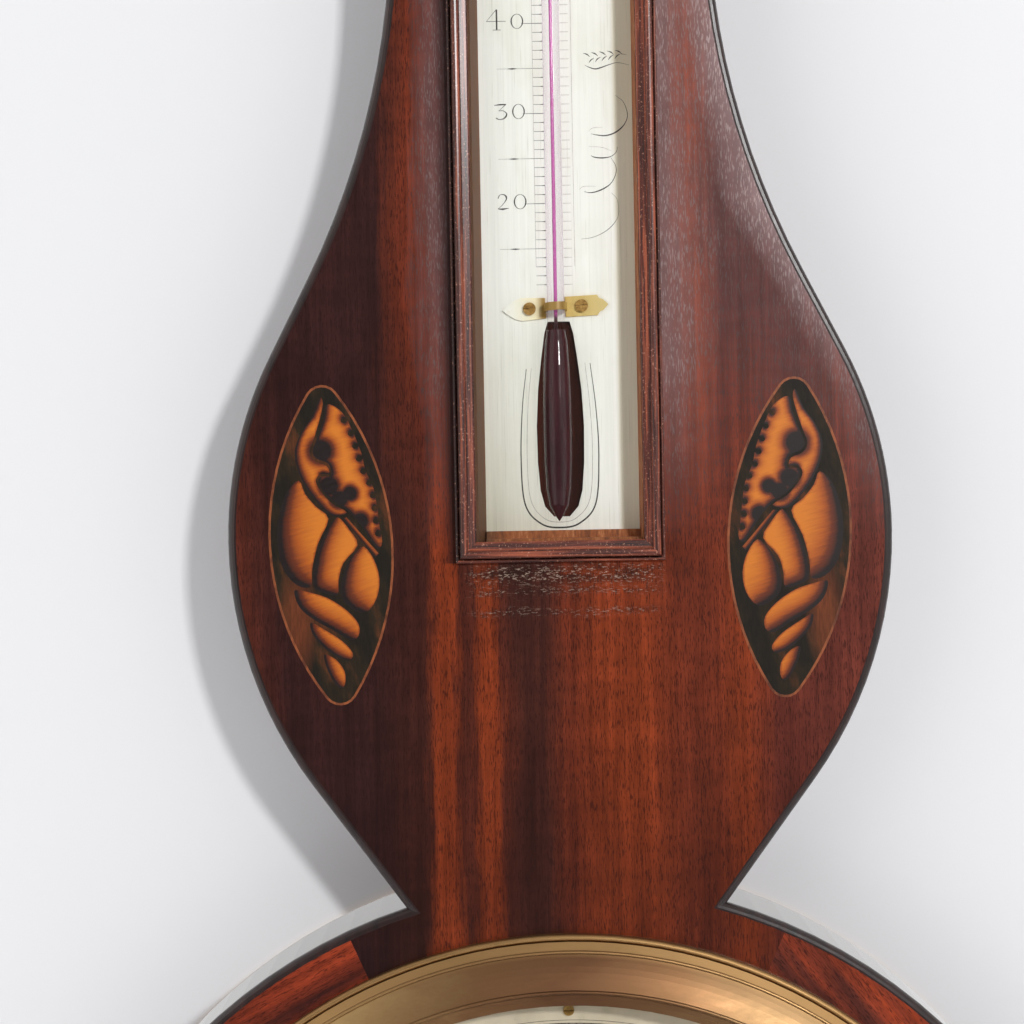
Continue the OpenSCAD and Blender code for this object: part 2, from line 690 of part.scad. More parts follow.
module cornice() {
    front = case_depth + cornice_reach;
    profile = concat(
        [[0, 0], [0, cornice_h], [front, cornice_h], [front, cornice_h - 2]],
        arc([front - 3.5, cornice_h - 2], 3, 0, -60, 4, 1),
        arc([front - 0.5, cornice_h - 7.2], 3, 120, 180, 4, 1),
        [[front - 7, cornice_h - 7.4], [front - 9.5, cornice_h - 7.4], [front - 9.5, 1.5],
            [case_depth + 1.5, 0]]);
    intersection() {
        translate([0, 0, rake_z(0)]) rotate([0, 90 + pediment_slope, 0])
            linear_extrude(2 * head_half) polygon([for (p = profile) [-p[1], -p[0]]]);
        block(pediment_gap, head_half + 8, -over, front + over, 0, 2 * hang_z);
    }
}

module right_cornice() color("saddlebrown") cornice();

module left_cornice() color("saddlebrown") mirror([1, 0, 0]) cornice();

module finial_plinth() {
    cap = 4;
    color("saddlebrown") difference() {
        union() {
            block(-plinth_w / 2, plinth_w / 2, plinth_back, plinth_front, seat_z, seat_z + plinth_h);
            block(-plinth_w / 2 - 1, plinth_w / 2 + 1, plinth_back - 1, plinth_front + 1,
                seat_z + plinth_h - cap, seat_z + plinth_h - 1.5);
        }
        translate([0, -finial_d, seat_z + plinth_h - spigot_h - 0.5])
            cylinder(r = spigot_r + 0.1, h = spigot_h + over);
    }
}

module finial() {
    color("gold") translate([0, -finial_d, seat_z + plinth_h]) rotate_extrude() {
        polygon(concat([[0, -spigot_h], [spigot_r, -spigot_h], [spigot_r, 0], [8, 0], [8, 1.6], [6.4, 2.2]],
            arc([9.2, 7], 5.4, 240, 150, 6),
            [[6.2, 10.6], [6.2, 12]],
            arc([0, finial_h * 0.42], 10.4, -50, 50, 12),
            [[4.8, finial_h * 0.42 + 9.4], [5.4, finial_h * 0.42 + 10.4], [3.4, finial_h * 0.42 + 12],
                [2.4, finial_h * 0.42 + 16]],
            arc([0, finial_h - 5], 3.4, -40, 60, 6),
            [[0.5, finial_h], [0, finial_h]]));
    }
}

module foot_block() {
    half = tail_r * cos(asin(0.76));
    color("saddlebrown") slab(0, case_depth + 2) polygon(concat(
        [[-half - 2, tail_bottom], [half + 2, tail_bottom], [half + 2, tail_bottom - 3]],
        arc([half + 1, tail_bottom - foot_h], foot_h - 4, 90, 180, 6),
        mirrored(arc([half + 1, tail_bottom - foot_h], foot_h - 4, 90, 180, 6)),
        [[-half - 2, tail_bottom - 3]]));
}

// Back

module hanging_plate() {
    color("goldenrod") difference() {
        slab(0, hang_t) difference() {
            union() {
                translate([-hang_w / 2 + inlet_gap, plate_foot + inlet_gap])
                    square([hang_w - 2 * inlet_gap, hang_z - plate_foot - inlet_gap]);
                translate([0, hang_z]) circle(r = hang_w / 2 - inlet_gap);
            }
            translate([0, hang_z]) circle(r = hang_r);
        }
        for (s = back_screw_list) translate([s[0], 0, s[1]]) screw_hole(s[3], s[4], s[5]);
    }
}

module back_screws() {
    color("gray") {
        for (s = back_screw_list) translate([s[0], 0, s[1]]) slotted_screw(s[3], s[4], s[5]);
        translate([button_x, 0, button_z]) difference() {
            rod(1.5, 0, 12);
            translate([-1.5, -0.5, -0.2]) cube([3, 1, 0.4]);
        }
    }
}

module tube_cover() {
    half = channel_half + cover_lap - inlet_gap;
    color("tan") difference() {
        block(long_x - half, long_x + half, 0, cover_t, door_top + 2 * inlet_gap,
            channel_top + cover_lap / 2 - inlet_gap);
        for (s = back_screw_list) translate([s[0], 0, s[1]]) screw_hole(s[3], s[4], s[5]);
    }
}

module tail_cover() {
    lap = cover_lap - inlet_gap;
    color("tan") difference() {
        block(tail_cavity_x0 - lap, tail_cavity_x1 + lap, 0, cover_t, tail_cavity_foot - lap,
            door_foot - 2 * inlet_gap);
        for (s = back_screw_list) translate([s[0], 0, s[1]]) screw_hole(s[3], s[4], s[5]);
    }
}

module back_door() {
    color("tan") difference() {
        block(-door_half, door_half, 0, door_t, door_foot, door_top);
        rod(button_pocket_r, -over, button_t + inlet_gap, button_x, button_z);
        at_door_hinges() mirror([1, 0, 0])
            leaf_recess(door_hinge_len, door_leaf_w, knuckle_r - leaf_t, leaf_t + over);
        at_door_hinges() knuckle_recess(door_hinge_len);
    }
}

module door_button() {
    straight = button_len - button_w;
    color("goldenrod") slab(0, button_t) translate([button_x, button_z]) difference() {
        union() {
            square([button_w, straight], center = true);
            for (s = [-1, 1]) translate([0, s * straight / 2]) circle(r = button_w / 2);
        }
        circle(r = 1.5 + run_gap);
    }
}

module door_hinge_fixed_leaves() color("goldenrod") at_door_hinges()
    fixed_leaf(door_hinge_len, door_leaf_w, knuckle_r - leaf_t);

module door_hinge_moving_leaves() color("goldenrod") at_door_hinges()
    moving_leaf(door_hinge_len, door_leaf_w, knuckle_r - leaf_t);

// Thermometer

module at_clips() for (i = [0, 1]) translate([0, 0, clip_zs[i]]) rotate([0, clip_turns[i], 0]) children();

module clip_screw_holes() at_clips() for (s = [-1, 1])
    rod(0.6, pocket_floor - 5, case_depth, s * clip_screw_x);

module thermometer_plate() {
    slot = [for (s = slot_shape) [bulb_r * s[1], tip_z + s[0] * bulb_len]];
    color("gainsboro") difference() {
        slab(pocket_floor, plate_face) difference() {
            translate([-pocket_half + plate_gap, pocket_bottom + plate_gap])
                square([2 * (pocket_half - plate_gap), pocket_top - pocket_bottom - 2 * plate_gap]);
            translate([slot_shift, 0]) polygon(concat(slot, mirrored(slot)));
        }
        clip_screw_holes();
    }
}

module bulb_profile(inset) polygon(concat(
    [[0, tip_z + inset]],
    [for (s = bulb_shape) [max(bulb_r * s[1] - inset, 0.02), tip_z + inset + s[0] * (bulb_len - 2 * inset)]],
    [[0, bulb_top - inset - (bulb_len - 2 * inset) * 0.04]]));

module thermometer_tube() {
    color("thistle") translate([0, -stem_d, 0]) difference() {
        union() {
            rotate_extrude() bulb_profile(0);
            translate([0, 0, bulb_top - 5]) cylinder(r = stem_r, h = stem_end - bulb_top + 5);
        }
        rotate_extrude() bulb_profile(glass_wall);
        translate([0, 0, bulb_top - 6]) cylinder(r = stem_bore, h = stem_end - bulb_top + 4);
    }
}

module thermometer_spirit() {
    spirit_z = zero_z + reading * degree;
    color("mediumvioletred") translate([0, -stem_d, 0]) {
        rotate_extrude() bulb_profile(glass_wall + spirit_gap);
        translate([0, 0, bulb_top - 6]) cylinder(r = stem_bore - spirit_gap, h = spirit_z - bulb_top + 6);
    }
}

module lug(half) polygon(concat(half, [for (i = [len(half) - 2:-1:0]) [half[i][0], -half[i][1]]]));

module tube_clips() {
    arch_r = stem_r + 0.1;
    right_lug = [[arch_r + 0.2, clip_half], [clip_reach - 2.6, clip_half],
        [clip_reach - 2.1, clip_half * 0.66], [clip_reach - 1.2, clip_half * 0.52], [clip_reach, 0]];
    left_lug = [[arch_r + 0.2, clip_half], [clip_reach - 4.6, clip_half * 1.14],
        [clip_reach - 3, clip_half * 0.94], [clip_reach - 1.4, clip_half * 0.5], [clip_reach, 0]];
    arch_half = 0.95;
    color("gold") at_clips() difference() {
        union() {
            slab(plate_face, plate_face + clip_t) lug(right_lug);
            mirror([1, 0, 0]) slab(plate_face, plate_face + clip_t) lug(left_lug);
            translate([0, -stem_d, -arch_half]) cylinder(r = arch_r + clip_t, h = 2 * arch_half);
            block(-arch_r - clip_t, arch_r + clip_t, plate_face, stem_d, -arch_half, arch_half);
        }
        translate([0, -stem_d, -clip_half - over]) cylinder(r = arch_r, h = 2 * (clip_half + over));
        block(-arch_r, arch_r, pocket_floor, stem_d, -clip_half - over, clip_half + over);
        for (s = [-1, 1]) rod(0.6, pocket_floor, case_depth, s * clip_screw_x);
    }
}

module clip_screws() color("dimgray") at_clips() for (s = [-1, 1])
    translate([s * clip_screw_x, -plate_face - clip_t, 0]) front_screw(1.5, 0.6, plate_t + clip_t + 3);

module slip(w, top_d) translate([0, 0, pocket_bottom]) linear_extrude(pocket_top - pocket_bottom)
    polygon([[pocket_half, -plate_face], [pocket_half - w, -plate_face], [pocket_half - w / 4, -top_d],
        [pocket_half, -top_d]]);

module lining_slips() {
    top_d = case_depth - 0.2;
    foot_z = pocket_bottom;
    color("sienna") {
        slip(right_slip_w, top_d);
        mirror([1, 0, 0]) slip(slip_w, top_d);
        translate([slip_w - pocket_half, 0]) {
            clear_w = 2 * pocket_half - slip_w - right_slip_w;
            block(0, clear_w, plate_face, top_d, foot_z, foot_z + sill_h / 4);
            for (z = [foot_z, pocket_top - sill_h])
                block(0, clear_w, plate_face, plate_face + 2, z, z + sill_h);
        }
    }
}

// Section of the frame's moulding: an outer bead, a larger bead and a slope to the glass
module moulding_section() {
    bead_r = 0.45;
    reed_r = 0.95;
    reed_h = 3.45;
    polygon([for (p = concat(
        [[0, 0]],
        arc([bead_r, 1.55], bead_r, 180, 0, 6),
        [[2 * bead_r + 0.1, 1.4], [2 * bead_r + 0.1, 2.6]],
        arc([2 * bead_r + 0.15 + reed_r, reed_h], reed_r, 190, -10, 8),
        [[2 * (bead_r + reed_r) + 0.3, 3.1], [frame_w - 0.3, 2.8], [frame_w, 2.5], [frame_w, rebate_h],
            [frame_w - rebate_w, rebate_h], [frame_w - rebate_w, 0]])) [-p[0], -case_depth - p[1]]]);
}

// One member of the frame, mitred at both ends, along Z at the distance half_span
module frame_member(half_len, half_span) intersection() {
    translate([half_span, 0, -half_len]) linear_extrude(2 * half_len) moulding_section();
    slab(case_depth - over, case_depth + 10) polygon([
        [half_span, half_len], [half_span - frame_w, half_len - frame_w],
        [half_span - frame_w, frame_w - half_len], [half_span, -half_len]]);
}

module right_stile() color("maroon") translate([0, 0, frame_mid]) frame_member(frame_len / 2, frame_half);

module left_stile() color("maroon") mirror([1, 0, 0]) translate([0, 0, frame_mid])
    frame_member(frame_len / 2, frame_half);

module bottom_rail() color("maroon") translate([0, 0, frame_mid]) rotate([0, 90, 0])
    frame_member(frame_half, frame_len / 2);

module top_rail() color("maroon") difference() {
    translate([0, 0, frame_mid]) rotate([0, -90, 0]) frame_member(frame_half, frame_len / 2);
    at_frame_hinge() {
        mirror([1, 0, 0]) leaf_recess(frame_hinge_len, frame_leaf_w, -leaf_t, leaf_t + over);
        knuckle_recess(frame_hinge_len);
    }
}

module thermometer_glass() {
    half = pocket_half + rebate_w - 0.1;
    color("lightcyan") block(-half, half, case_depth + rebate_h - pane_t, case_depth + rebate_h,
        pocket_bottom - rebate_w + 0.1, pocket_top + rebate_w - 0.1);
}

module frame_hinge_fixed_leaf() color("goldenrod") at_frame_hinge()
    fixed_leaf(frame_hinge_len, case_leaf_w, 0);

module frame_hinge_moving_leaf() color("goldenrod") at_frame_hinge()
    moving_leaf(frame_hinge_len, frame_leaf_w, -leaf_t);

// Dial and hands

module dial_plate() color("whitesmoke") difference() {
    rod(dial_r, dial_floor, dial_face);
    rod(pipe_r + 0.7, dial_floor - over, dial_face + over);
    for (a = [0:90:270]) rotate([0, a, 0]) rod(0.7, dial_floor - over, dial_face + over, 0, dial_screw_at);
}

module dial_screws() color("dimgray") for (a = [0:90:270]) rotate([0, a, 0])
    translate([0, -dial_face, dial_screw_at]) front_screw(1.3, 0.7, dial_t + web_t - 1.2);

module bezel() {
    seat_r = glass_r + 0.2;
    bead_r = 0.8;
    step_r = 0.4;
    crown = 0.08;
    flange_r = bezel_r - 3.8;
    seat_h = glass_h + dial_glass_t;
    profile = concat(
        [[seat_r, 0], [bezel_r, 0]],
        arc([bezel_r - bead_r, 1.4], bead_r, 0, 180, 8),
        [[bezel_r - 2 * bead_r, 2.4], [flange_r + step_r, 3.4]],
        arc([flange_r, 3.6], step_r, 0, 180, 6),
        [for (k = [1:6]) let (t = k / 6) [flange_r - step_r - t * (flange_r - seat_r - 3 * step_r),
            3.6 + (bezel_h - 4.2) * (t + crown * sin(180 * t))]],
        arc([seat_r + step_r, bezel_h - step_r], step_r, 0, 180, 6),
        [[seat_r - 0.4, seat_h + 1.9], [seat_r - 1.6, seat_h + 1.2], [sight_r, seat_h + 1],
            [sight_r, seat_h], [seat_r, seat_h]]);
    color("peru") difference() {
        turned() polygon([for (p = profile) [p[0], case_depth + p[1]]]);
        at_bezel_hinge() {
            mirror([1, 0, 0]) leaf_recess(bezel_hinge_len, bezel_leaf_w, -leaf_t, leaf_t + over);
            knuckle_recess(bezel_hinge_len);
        }
    }
}

module bezel_glass() color("lightcyan")
    rod(glass_r, case_depth + glass_h, case_depth + glass_h + dial_glass_t);

module glass_ring() color("silver") difference() {
    rod(glass_r, case_depth + glass_h - ring_h, case_depth + glass_h);
    rod(sight_r, case_depth + glass_h - ring_h - over, case_depth + glass_h + over);
}

module bezel_hinge_fixed_leaf() color("goldenrod") at_bezel_hinge()
    fixed_leaf(bezel_hinge_len, case_leaf_w, 0);

module bezel_hinge_moving_leaf() color("goldenrod") at_bezel_hinge()
    moving_leaf(bezel_hinge_len, bezel_leaf_w, -leaf_t);

module pointer_hand() {
    head = pointer_len - 16;
    tail = -26;
    arm = [[1, tail + 4], [1.5, 0], [1.1, head - 6], [0.5, head], [3.2, head + 5], [0.6, pointer_len - 3],
        [0, pointer_len]];
    color("midnightblue") difference() {
        union() {
            slab(pointer_d, pointer_d + hand_t) {
                polygon(concat(arm, mirrored(arm)));
                translate([0, tail]) difference() {
                    circle(r = 5.5);
                    translate([0, -2.6]) circle(r = 4.4);
                }
            }
            rod(3, pointer_d, pointer_d + boss_h);
        }
        rod(arbor_r, pointer_d - over, pointer_d + 2 * boss_h);
    }
}

module pointer_arbor() {
    half = pulley_half;
    color("silver") {
        rod(arbor_r, arbor_back, pointer_d + boss_h);
        turned() polygon([[0, tube_d - half], [flange_r, tube_d - half], [flange_r, tube_d - half + 0.5],
            [groove_r, tube_d - 0.6], [groove_r, tube_d + 0.6], [flange_r, tube_d + half - 0.5],
            [flange_r, tube_d + half], [0, tube_d + half]]);
    }
}

module set_hand() {
    head = set_len - 12;
    tail = -20;
    arm = [[0.9, tail], [1.2, 0], [0.9, head - 14], [0.9, head], [3, head], [0, set_len]];
    color("goldenrod") difference() {
        slab(set_hand_d, set_hand_d + hand_t) rotate(-set_rest) difference() {
            union() {
                polygon(concat(arm, mirrored(arm)));
                translate([0, head - 8]) circle(r = 4);
                translate([0, tail - 1]) circle(r = 3);
                circle(r = pipe_r + 2);
            }
            translate([0, head - 8]) circle(r = 2.8);
            circle(r = pipe_r);
        }
    }
}

// Grooved pulley for the set cord
module cord_pulley(pitch, bore) turned() polygon([
    [bore, cord_d - set_pulley_t / 2], [pitch + pulley_rim, cord_d - set_pulley_t / 2],
    [pitch + pulley_rim, cord_d - cord_r - cord_gap], [pitch - cord_r - cord_gap, cord_d - cord_r - cord_gap],
    [pitch - cord_r - cord_gap, cord_d + cord_r + cord_gap], [pitch + pulley_rim, cord_d + cord_r + cord_gap],
    [pitch + pulley_rim, cord_d + set_pulley_t / 2], [bore, cord_d + set_pulley_t / 2]]);

module set_hand_pipe() color("goldenrod") {
    cord_pulley(set_pulley_r, pipe_bore);
    difference() {
        rod(pipe_r, cord_d - set_pulley_t / 2 - 0.4, set_hand_d + hand_t + 0.3);
        rod(pipe_bore, 0, case_depth + 10);
    }
}

module arbor_bush() color("goldenrod") difference() {
    rod(bush_r, web_back, dial_floor);
    rod(pipe_r + run_gap, web_back - over, dial_floor + over);
}

module key_bush() color("goldenrod") difference() {
    union() {
        rod(key_bush_r, web_back, case_depth, 0, key_z);
        rod(key_bush_r + 1.5, case_depth, case_depth + 0.8, 0, key_z);
    }
    rod(key_arbor_r + run_gap, web_back - over, case_depth + 2, 0, key_z);
}

module set_key() color("ivory") translate([0, 0, key_z]) {
    cord_pulley(key_pulley_r, 0);
    rod(key_arbor_r, cord_d, case_depth + 4);
    turned() polygon(concat([[0, case_depth + 1.2], [2.6, case_depth + 1.2]],
        arc([3.6, case_depth + 3.4], 1.2, 250, 110, 6),
        arc([0, case_depth + 7], knob_r, -30, 60, 10),
        [[1.6, case_depth + knob_h + 1], [0, case_depth + knob_h + 1.4]]));
}

// Endless cord round both pulleys, swept along its own loop
module set_cord() {
    sides = 8;
    lean = asin((set_pulley_r - key_pulley_r) / -key_z);
    loop = concat(arc([0, 0], set_pulley_r, -lean, 180 + lean, 24),
        arc([0, key_z], key_pulley_r, 180 + lean, 360 - lean, 20));
    n = len(loop);
    rings = [for (i = [0:n - 1])
        let (along = loop[(i + 1) % n] - loop[(i + n - 1) % n], out = [along[1], -along[0]] / norm(along))
        [for (k = [0:sides - 1]) let (p = loop[i] + cord_r * cos(k * 360 / sides) * out)
            [p[0], -cord_d - cord_r * sin(k * 360 / sides), p[1]]]];
    skin = [for (i = [0:n - 1], k = [0:sides - 1], half = [0, 1])
        let (a = i * sides, b = (i + 1) % n * sides, next = (k + 1) % sides)
        half == 0 ? [a + k, b + k, b + next] : [a + k, b + next, a + next]];
    color("tan") polyhedron([for (ring = rings, p = ring) p], skin);
}

// Siphon tube, float and thread

module siphon_shape(r, short_top, long_top) translate([pulley_pitch + bend_r, -tube_d, -bend_drop]) {
    translate([-bend_r, 0, 0]) cylinder(r = r, h = short_top + bend_drop);
    translate([bend_r, 0, 0]) cylinder(r = r, h = long_top + bend_drop);
    rotate([-90, 0, 0]) rotate_extrude(angle = 180) translate([bend_r, 0]) circle(r = r);
}

module siphon_tube() color("lightblue") difference() {
    siphon_shape(siphon_r, -tube_top, tube_end);
    siphon_shape(siphon_bore, over - tube_top, tube_end - 2);
}

module mercury() color("silver") siphon_shape(mercury_r, -level_drop, column_h - level_drop);

module glass_float() color("whitesmoke") translate([pulley_pitch, -tube_d, -level_drop]) difference() {
    cylinder(r = float_r, h = float_len);
    translate([0, 0, 1]) cylinder(r = bead_bore, h = float_len);
}

module counterweight() color("gray") translate([-pulley_pitch, -tube_d, weight_z]) difference() {
    cylinder(r = guide_bore - 0.7, h = float_len);
    translate([0, 0, 1]) cylinder(r = bead_bore, h = float_len);
}

module counterweight_guide() {
    foot = -level_drop - 5;
    color("lightblue") translate([-pulley_pitch, -tube_d, foot]) difference() {
        cylinder(r = guide_r, h = -foot - tube_top);
        translate([0, 0, 1]) cylinder(r = guide_bore, h = -foot - tube_top + over);
    }
}

module silk_thread() {
    float_end = -level_drop + float_len - thread_in;
    weight_end = weight_z + float_len - thread_in;
    color("ivory") translate([0, -tube_d, 0]) {
        translate([pulley_pitch, 0, float_end]) cylinder(r = thread_r, h = -float_end);
        translate([-pulley_pitch, 0, weight_end]) cylinder(r = thread_r, h = -weight_end);
        rotate([90, 0, 0]) rotate_extrude(angle = 180) translate([pulley_pitch, 0]) circle(r = thread_r);
    }
}

module arbor_bridge() color("goldenrod") difference() {
    union() {
        block(-bridge_half_w, bridge_half_w, bridge_d0, bridge_d0 + bridge_t, -bridge_at - 4, bridge_at + 4);
        for (z = [-bridge_at, bridge_at]) rod(post_r, bridge_d0 + bridge_t, web_back, 0, z);
    }
    rod(arbor_r + run_gap, bridge_d0 + 0.6, web_back);
    for (z = [-bridge_at, bridge_at]) rod(0.8, bridge_d0 - over, web_back + over, 0, z);
}

module bridge_screws() color("dimgray") for (z = [-bridge_at, bridge_at]) translate([0, -bridge_d0, z]) {
    rod(1.6, -0.9, 0);
    rod(0.8, 0, web_back - bridge_d0 + 2.5);
}

// Brass clamp that holds both limbs and the weight's guide on the wood behind the dial
module tube_clamp() {
    plate_d = tube_d + siphon_r + 0.1;
    foot_x = [-set_pulley_r - 6, long_x + siphon_r + 4];
    foot_half = 2.5;
    color("goldenrod") translate([0, 0, clamp_z - clamp_tall / 2]) difference() {
        union() {
            block(foot_x[0] - foot_half, foot_x[1] + foot_half, plate_d, plate_d + 1, 0, clamp_tall);
            for (x = foot_x) block(x - foot_half, x + foot_half, plate_d, web_back, 0, clamp_tall);
            for (x = [pulley_pitch, long_x])
                translate([x, -tube_d, 0]) cylinder(r = siphon_r + clamp_t, h = clamp_tall);
            translate([-pulley_pitch, -tube_d, 0]) cylinder(r = guide_r + clamp_t, h = clamp_tall);
            block(-pulley_pitch - 1.5, 1.5 - pulley_pitch, tube_d, plate_d, 0, clamp_tall);
        }
        for (x = [pulley_pitch, long_x])
            translate([x, -tube_d, -over]) cylinder(r = siphon_r + 0.05, h = clamp_tall + 2 * over);
        translate([-pulley_pitch, -tube_d, -over]) cylinder(r = guide_r + 0.05, h = clamp_tall + 2 * over);
    }
}

hang() carcass();
hang() trunk_veneer();
hang() left_roundel_veneer();
hang() right_roundel_veneer();
hang() tail_veneer();
hang() left_edging();
hang() right_edging();
hang() inlay_grounds();
hang() inlay_strings();
hang() shell_inlays();
hang() left_cornice();
hang() right_cornice();
hang() finial_plinth();
hang() finial();
hang() foot_block();
hang() hanging_plate();
hang() back_screws();
hang() tube_cover();
hang() tail_cover();
hang() thermometer_plate();
hang() thermometer_tube();
hang() thermometer_spirit();
hang() tube_clips();
hang() clip_screws();
hang() lining_slips();
hang() left_stile();
hang() right_stile();
hang() top_rail();
hang() bottom_rail();
hang() thermometer_glass();
hang() frame_hinge_fixed_leaf();
hang() frame_hinge_moving_leaf();
hang() dial_plate();
hang() dial_screws();
hang() siphon_tube();
hang() mercury();
hang() counterweight_guide();
hang() tube_clamp();
hang() arbor_bridge();
hang() bridge_screws();
hang() arbor_bush();
hang() silk_thread();
hang() set_cord();
hang() key_bush();
hang() bezel();
hang() bezel_glass();
hang() glass_ring();
hang() bezel_hinge_fixed_leaf();
hang() bezel_hinge_moving_leaf();
hang() pointer_hand();
hang() pointer_arbor();
hang() set_hand();
hang() set_hand_pipe();
hang() set_key();
hang() glass_float();
hang() counterweight();
hang() back_door();
hang() door_hinge_fixed_leaves();
hang() door_hinge_moving_leaves();
hang() door_button();
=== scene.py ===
# Banjo barometer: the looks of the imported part, in metres, in the part's own frame.
# The face looks along -Y, the wall is the plane Y = 0 and the hanging hole is the origin.
import json
import math

import bmesh
import bpy
import numpy as np
from mathutils import Matrix, Vector, geometry


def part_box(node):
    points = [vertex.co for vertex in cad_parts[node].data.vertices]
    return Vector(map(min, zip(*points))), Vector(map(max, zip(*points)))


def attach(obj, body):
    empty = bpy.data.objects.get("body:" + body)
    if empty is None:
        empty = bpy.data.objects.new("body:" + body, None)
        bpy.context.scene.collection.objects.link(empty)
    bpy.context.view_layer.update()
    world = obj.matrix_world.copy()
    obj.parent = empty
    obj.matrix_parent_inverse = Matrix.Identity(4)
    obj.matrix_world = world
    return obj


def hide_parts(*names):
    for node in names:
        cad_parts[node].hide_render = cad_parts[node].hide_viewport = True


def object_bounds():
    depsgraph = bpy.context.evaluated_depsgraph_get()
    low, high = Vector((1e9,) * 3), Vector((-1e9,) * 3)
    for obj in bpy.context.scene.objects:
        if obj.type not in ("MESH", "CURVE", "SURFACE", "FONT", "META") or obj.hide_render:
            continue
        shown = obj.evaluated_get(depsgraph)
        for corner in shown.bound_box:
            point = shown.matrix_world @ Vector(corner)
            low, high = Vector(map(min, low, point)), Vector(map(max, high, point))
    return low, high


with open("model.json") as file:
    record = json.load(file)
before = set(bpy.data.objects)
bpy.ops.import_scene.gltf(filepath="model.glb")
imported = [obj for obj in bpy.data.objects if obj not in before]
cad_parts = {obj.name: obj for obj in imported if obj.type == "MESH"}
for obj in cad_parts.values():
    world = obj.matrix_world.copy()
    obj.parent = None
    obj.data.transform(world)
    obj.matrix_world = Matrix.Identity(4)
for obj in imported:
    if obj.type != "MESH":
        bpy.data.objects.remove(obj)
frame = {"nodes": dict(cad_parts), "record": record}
cad_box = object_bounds()
nodes = frame["nodes"]

# Camera. It stands half a metre in front of the case, level with the foot of the thermometer,
# and is tilted by about a degree, as the case hangs a little off plumb in its picture.
MM = 0.001
dial_low, dial_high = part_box("dial_plate")
dial_z = (dial_low.z + dial_high.z) / 2
face_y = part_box("trunk_veneer")[0].y
view_width = 239.8 * MM
view_distance = 500 * MM
view_x = -11.2 * MM
view_rise = 213.8 * MM
view_roll = math.radians(1.05)
camera = bpy.data.objects.new("camera", bpy.data.cameras.new("camera"))
camera.data.sensor_fit = "HORIZONTAL"
camera.data.angle = 2 * math.atan(view_width / 2 / view_distance)
camera.matrix_world = (Matrix.Translation((view_x, face_y - view_distance, dial_z + view_rise))
                       @ Matrix.Rotation(view_roll, 4, "Y") @ Matrix.Rotation(math.pi / 2, 4, "X"))
bpy.context.scene.collection.objects.link(camera)
bpy.context.scene.camera = camera
bpy.context.scene.view_settings.view_transform = "Standard"


# Carcass. The case is one board of pine, sawn to shape and hollowed from behind for the tube.
# Its edges are stained and polished nearly black; the back and the hollows are left bare.
def tint(red, green, blue):
    """A colour as it shows on a screen, each part from 0 to 255."""
    parts = [c / 255 for c in (red, green, blue)]
    return (*[c / 12.92 if c < 0.04 else ((c + 0.055) / 1.055) ** 2.4 for c in parts], 1.0)


class Nodes:
    """Short calls that add shader nodes to one tree."""

    def __init__(self, tree):
        self.tree = tree

    def feed(self, socket, value):
        if isinstance(value, bpy.types.NodeSocket):
            self.tree.links.new(value, socket)
        else:
            socket.default_value = value

    def add(self, kind, values=(), output=0, **settings):
        node = self.tree.nodes.new("ShaderNode" + kind)
        for name, value in settings.items():
            setattr(node, name, value)
        for key, value in dict(values).items():
            self.feed(node.inputs[key], value)
        return node.outputs[output]

    def reckon(self, operation, *terms):
        return self.add("Math", enumerate(terms), operation=operation)

    def ramp(self, value, *stops):
        """A colour, or a grey level, read off along the stops."""
        ramp = self.tree.nodes.new("ShaderNodeValToRGB")
        line = ramp.color_ramp.elements
        while len(line) < len(stops):
            line.new(0.5)
        for point, (position, colour) in zip(line, stops):
            point.position = position
            point.color = colour if isinstance(colour, tuple) else (colour, colour, colour, 1)
        self.feed(ramp.inputs[0], value)
        return ramp.outputs[0]

    def mix(self, amount, first, second, way="MIX"):
        return self.add("MixRGB", {"Fac": amount, "Color1": first, "Color2": second}, blend_type=way)


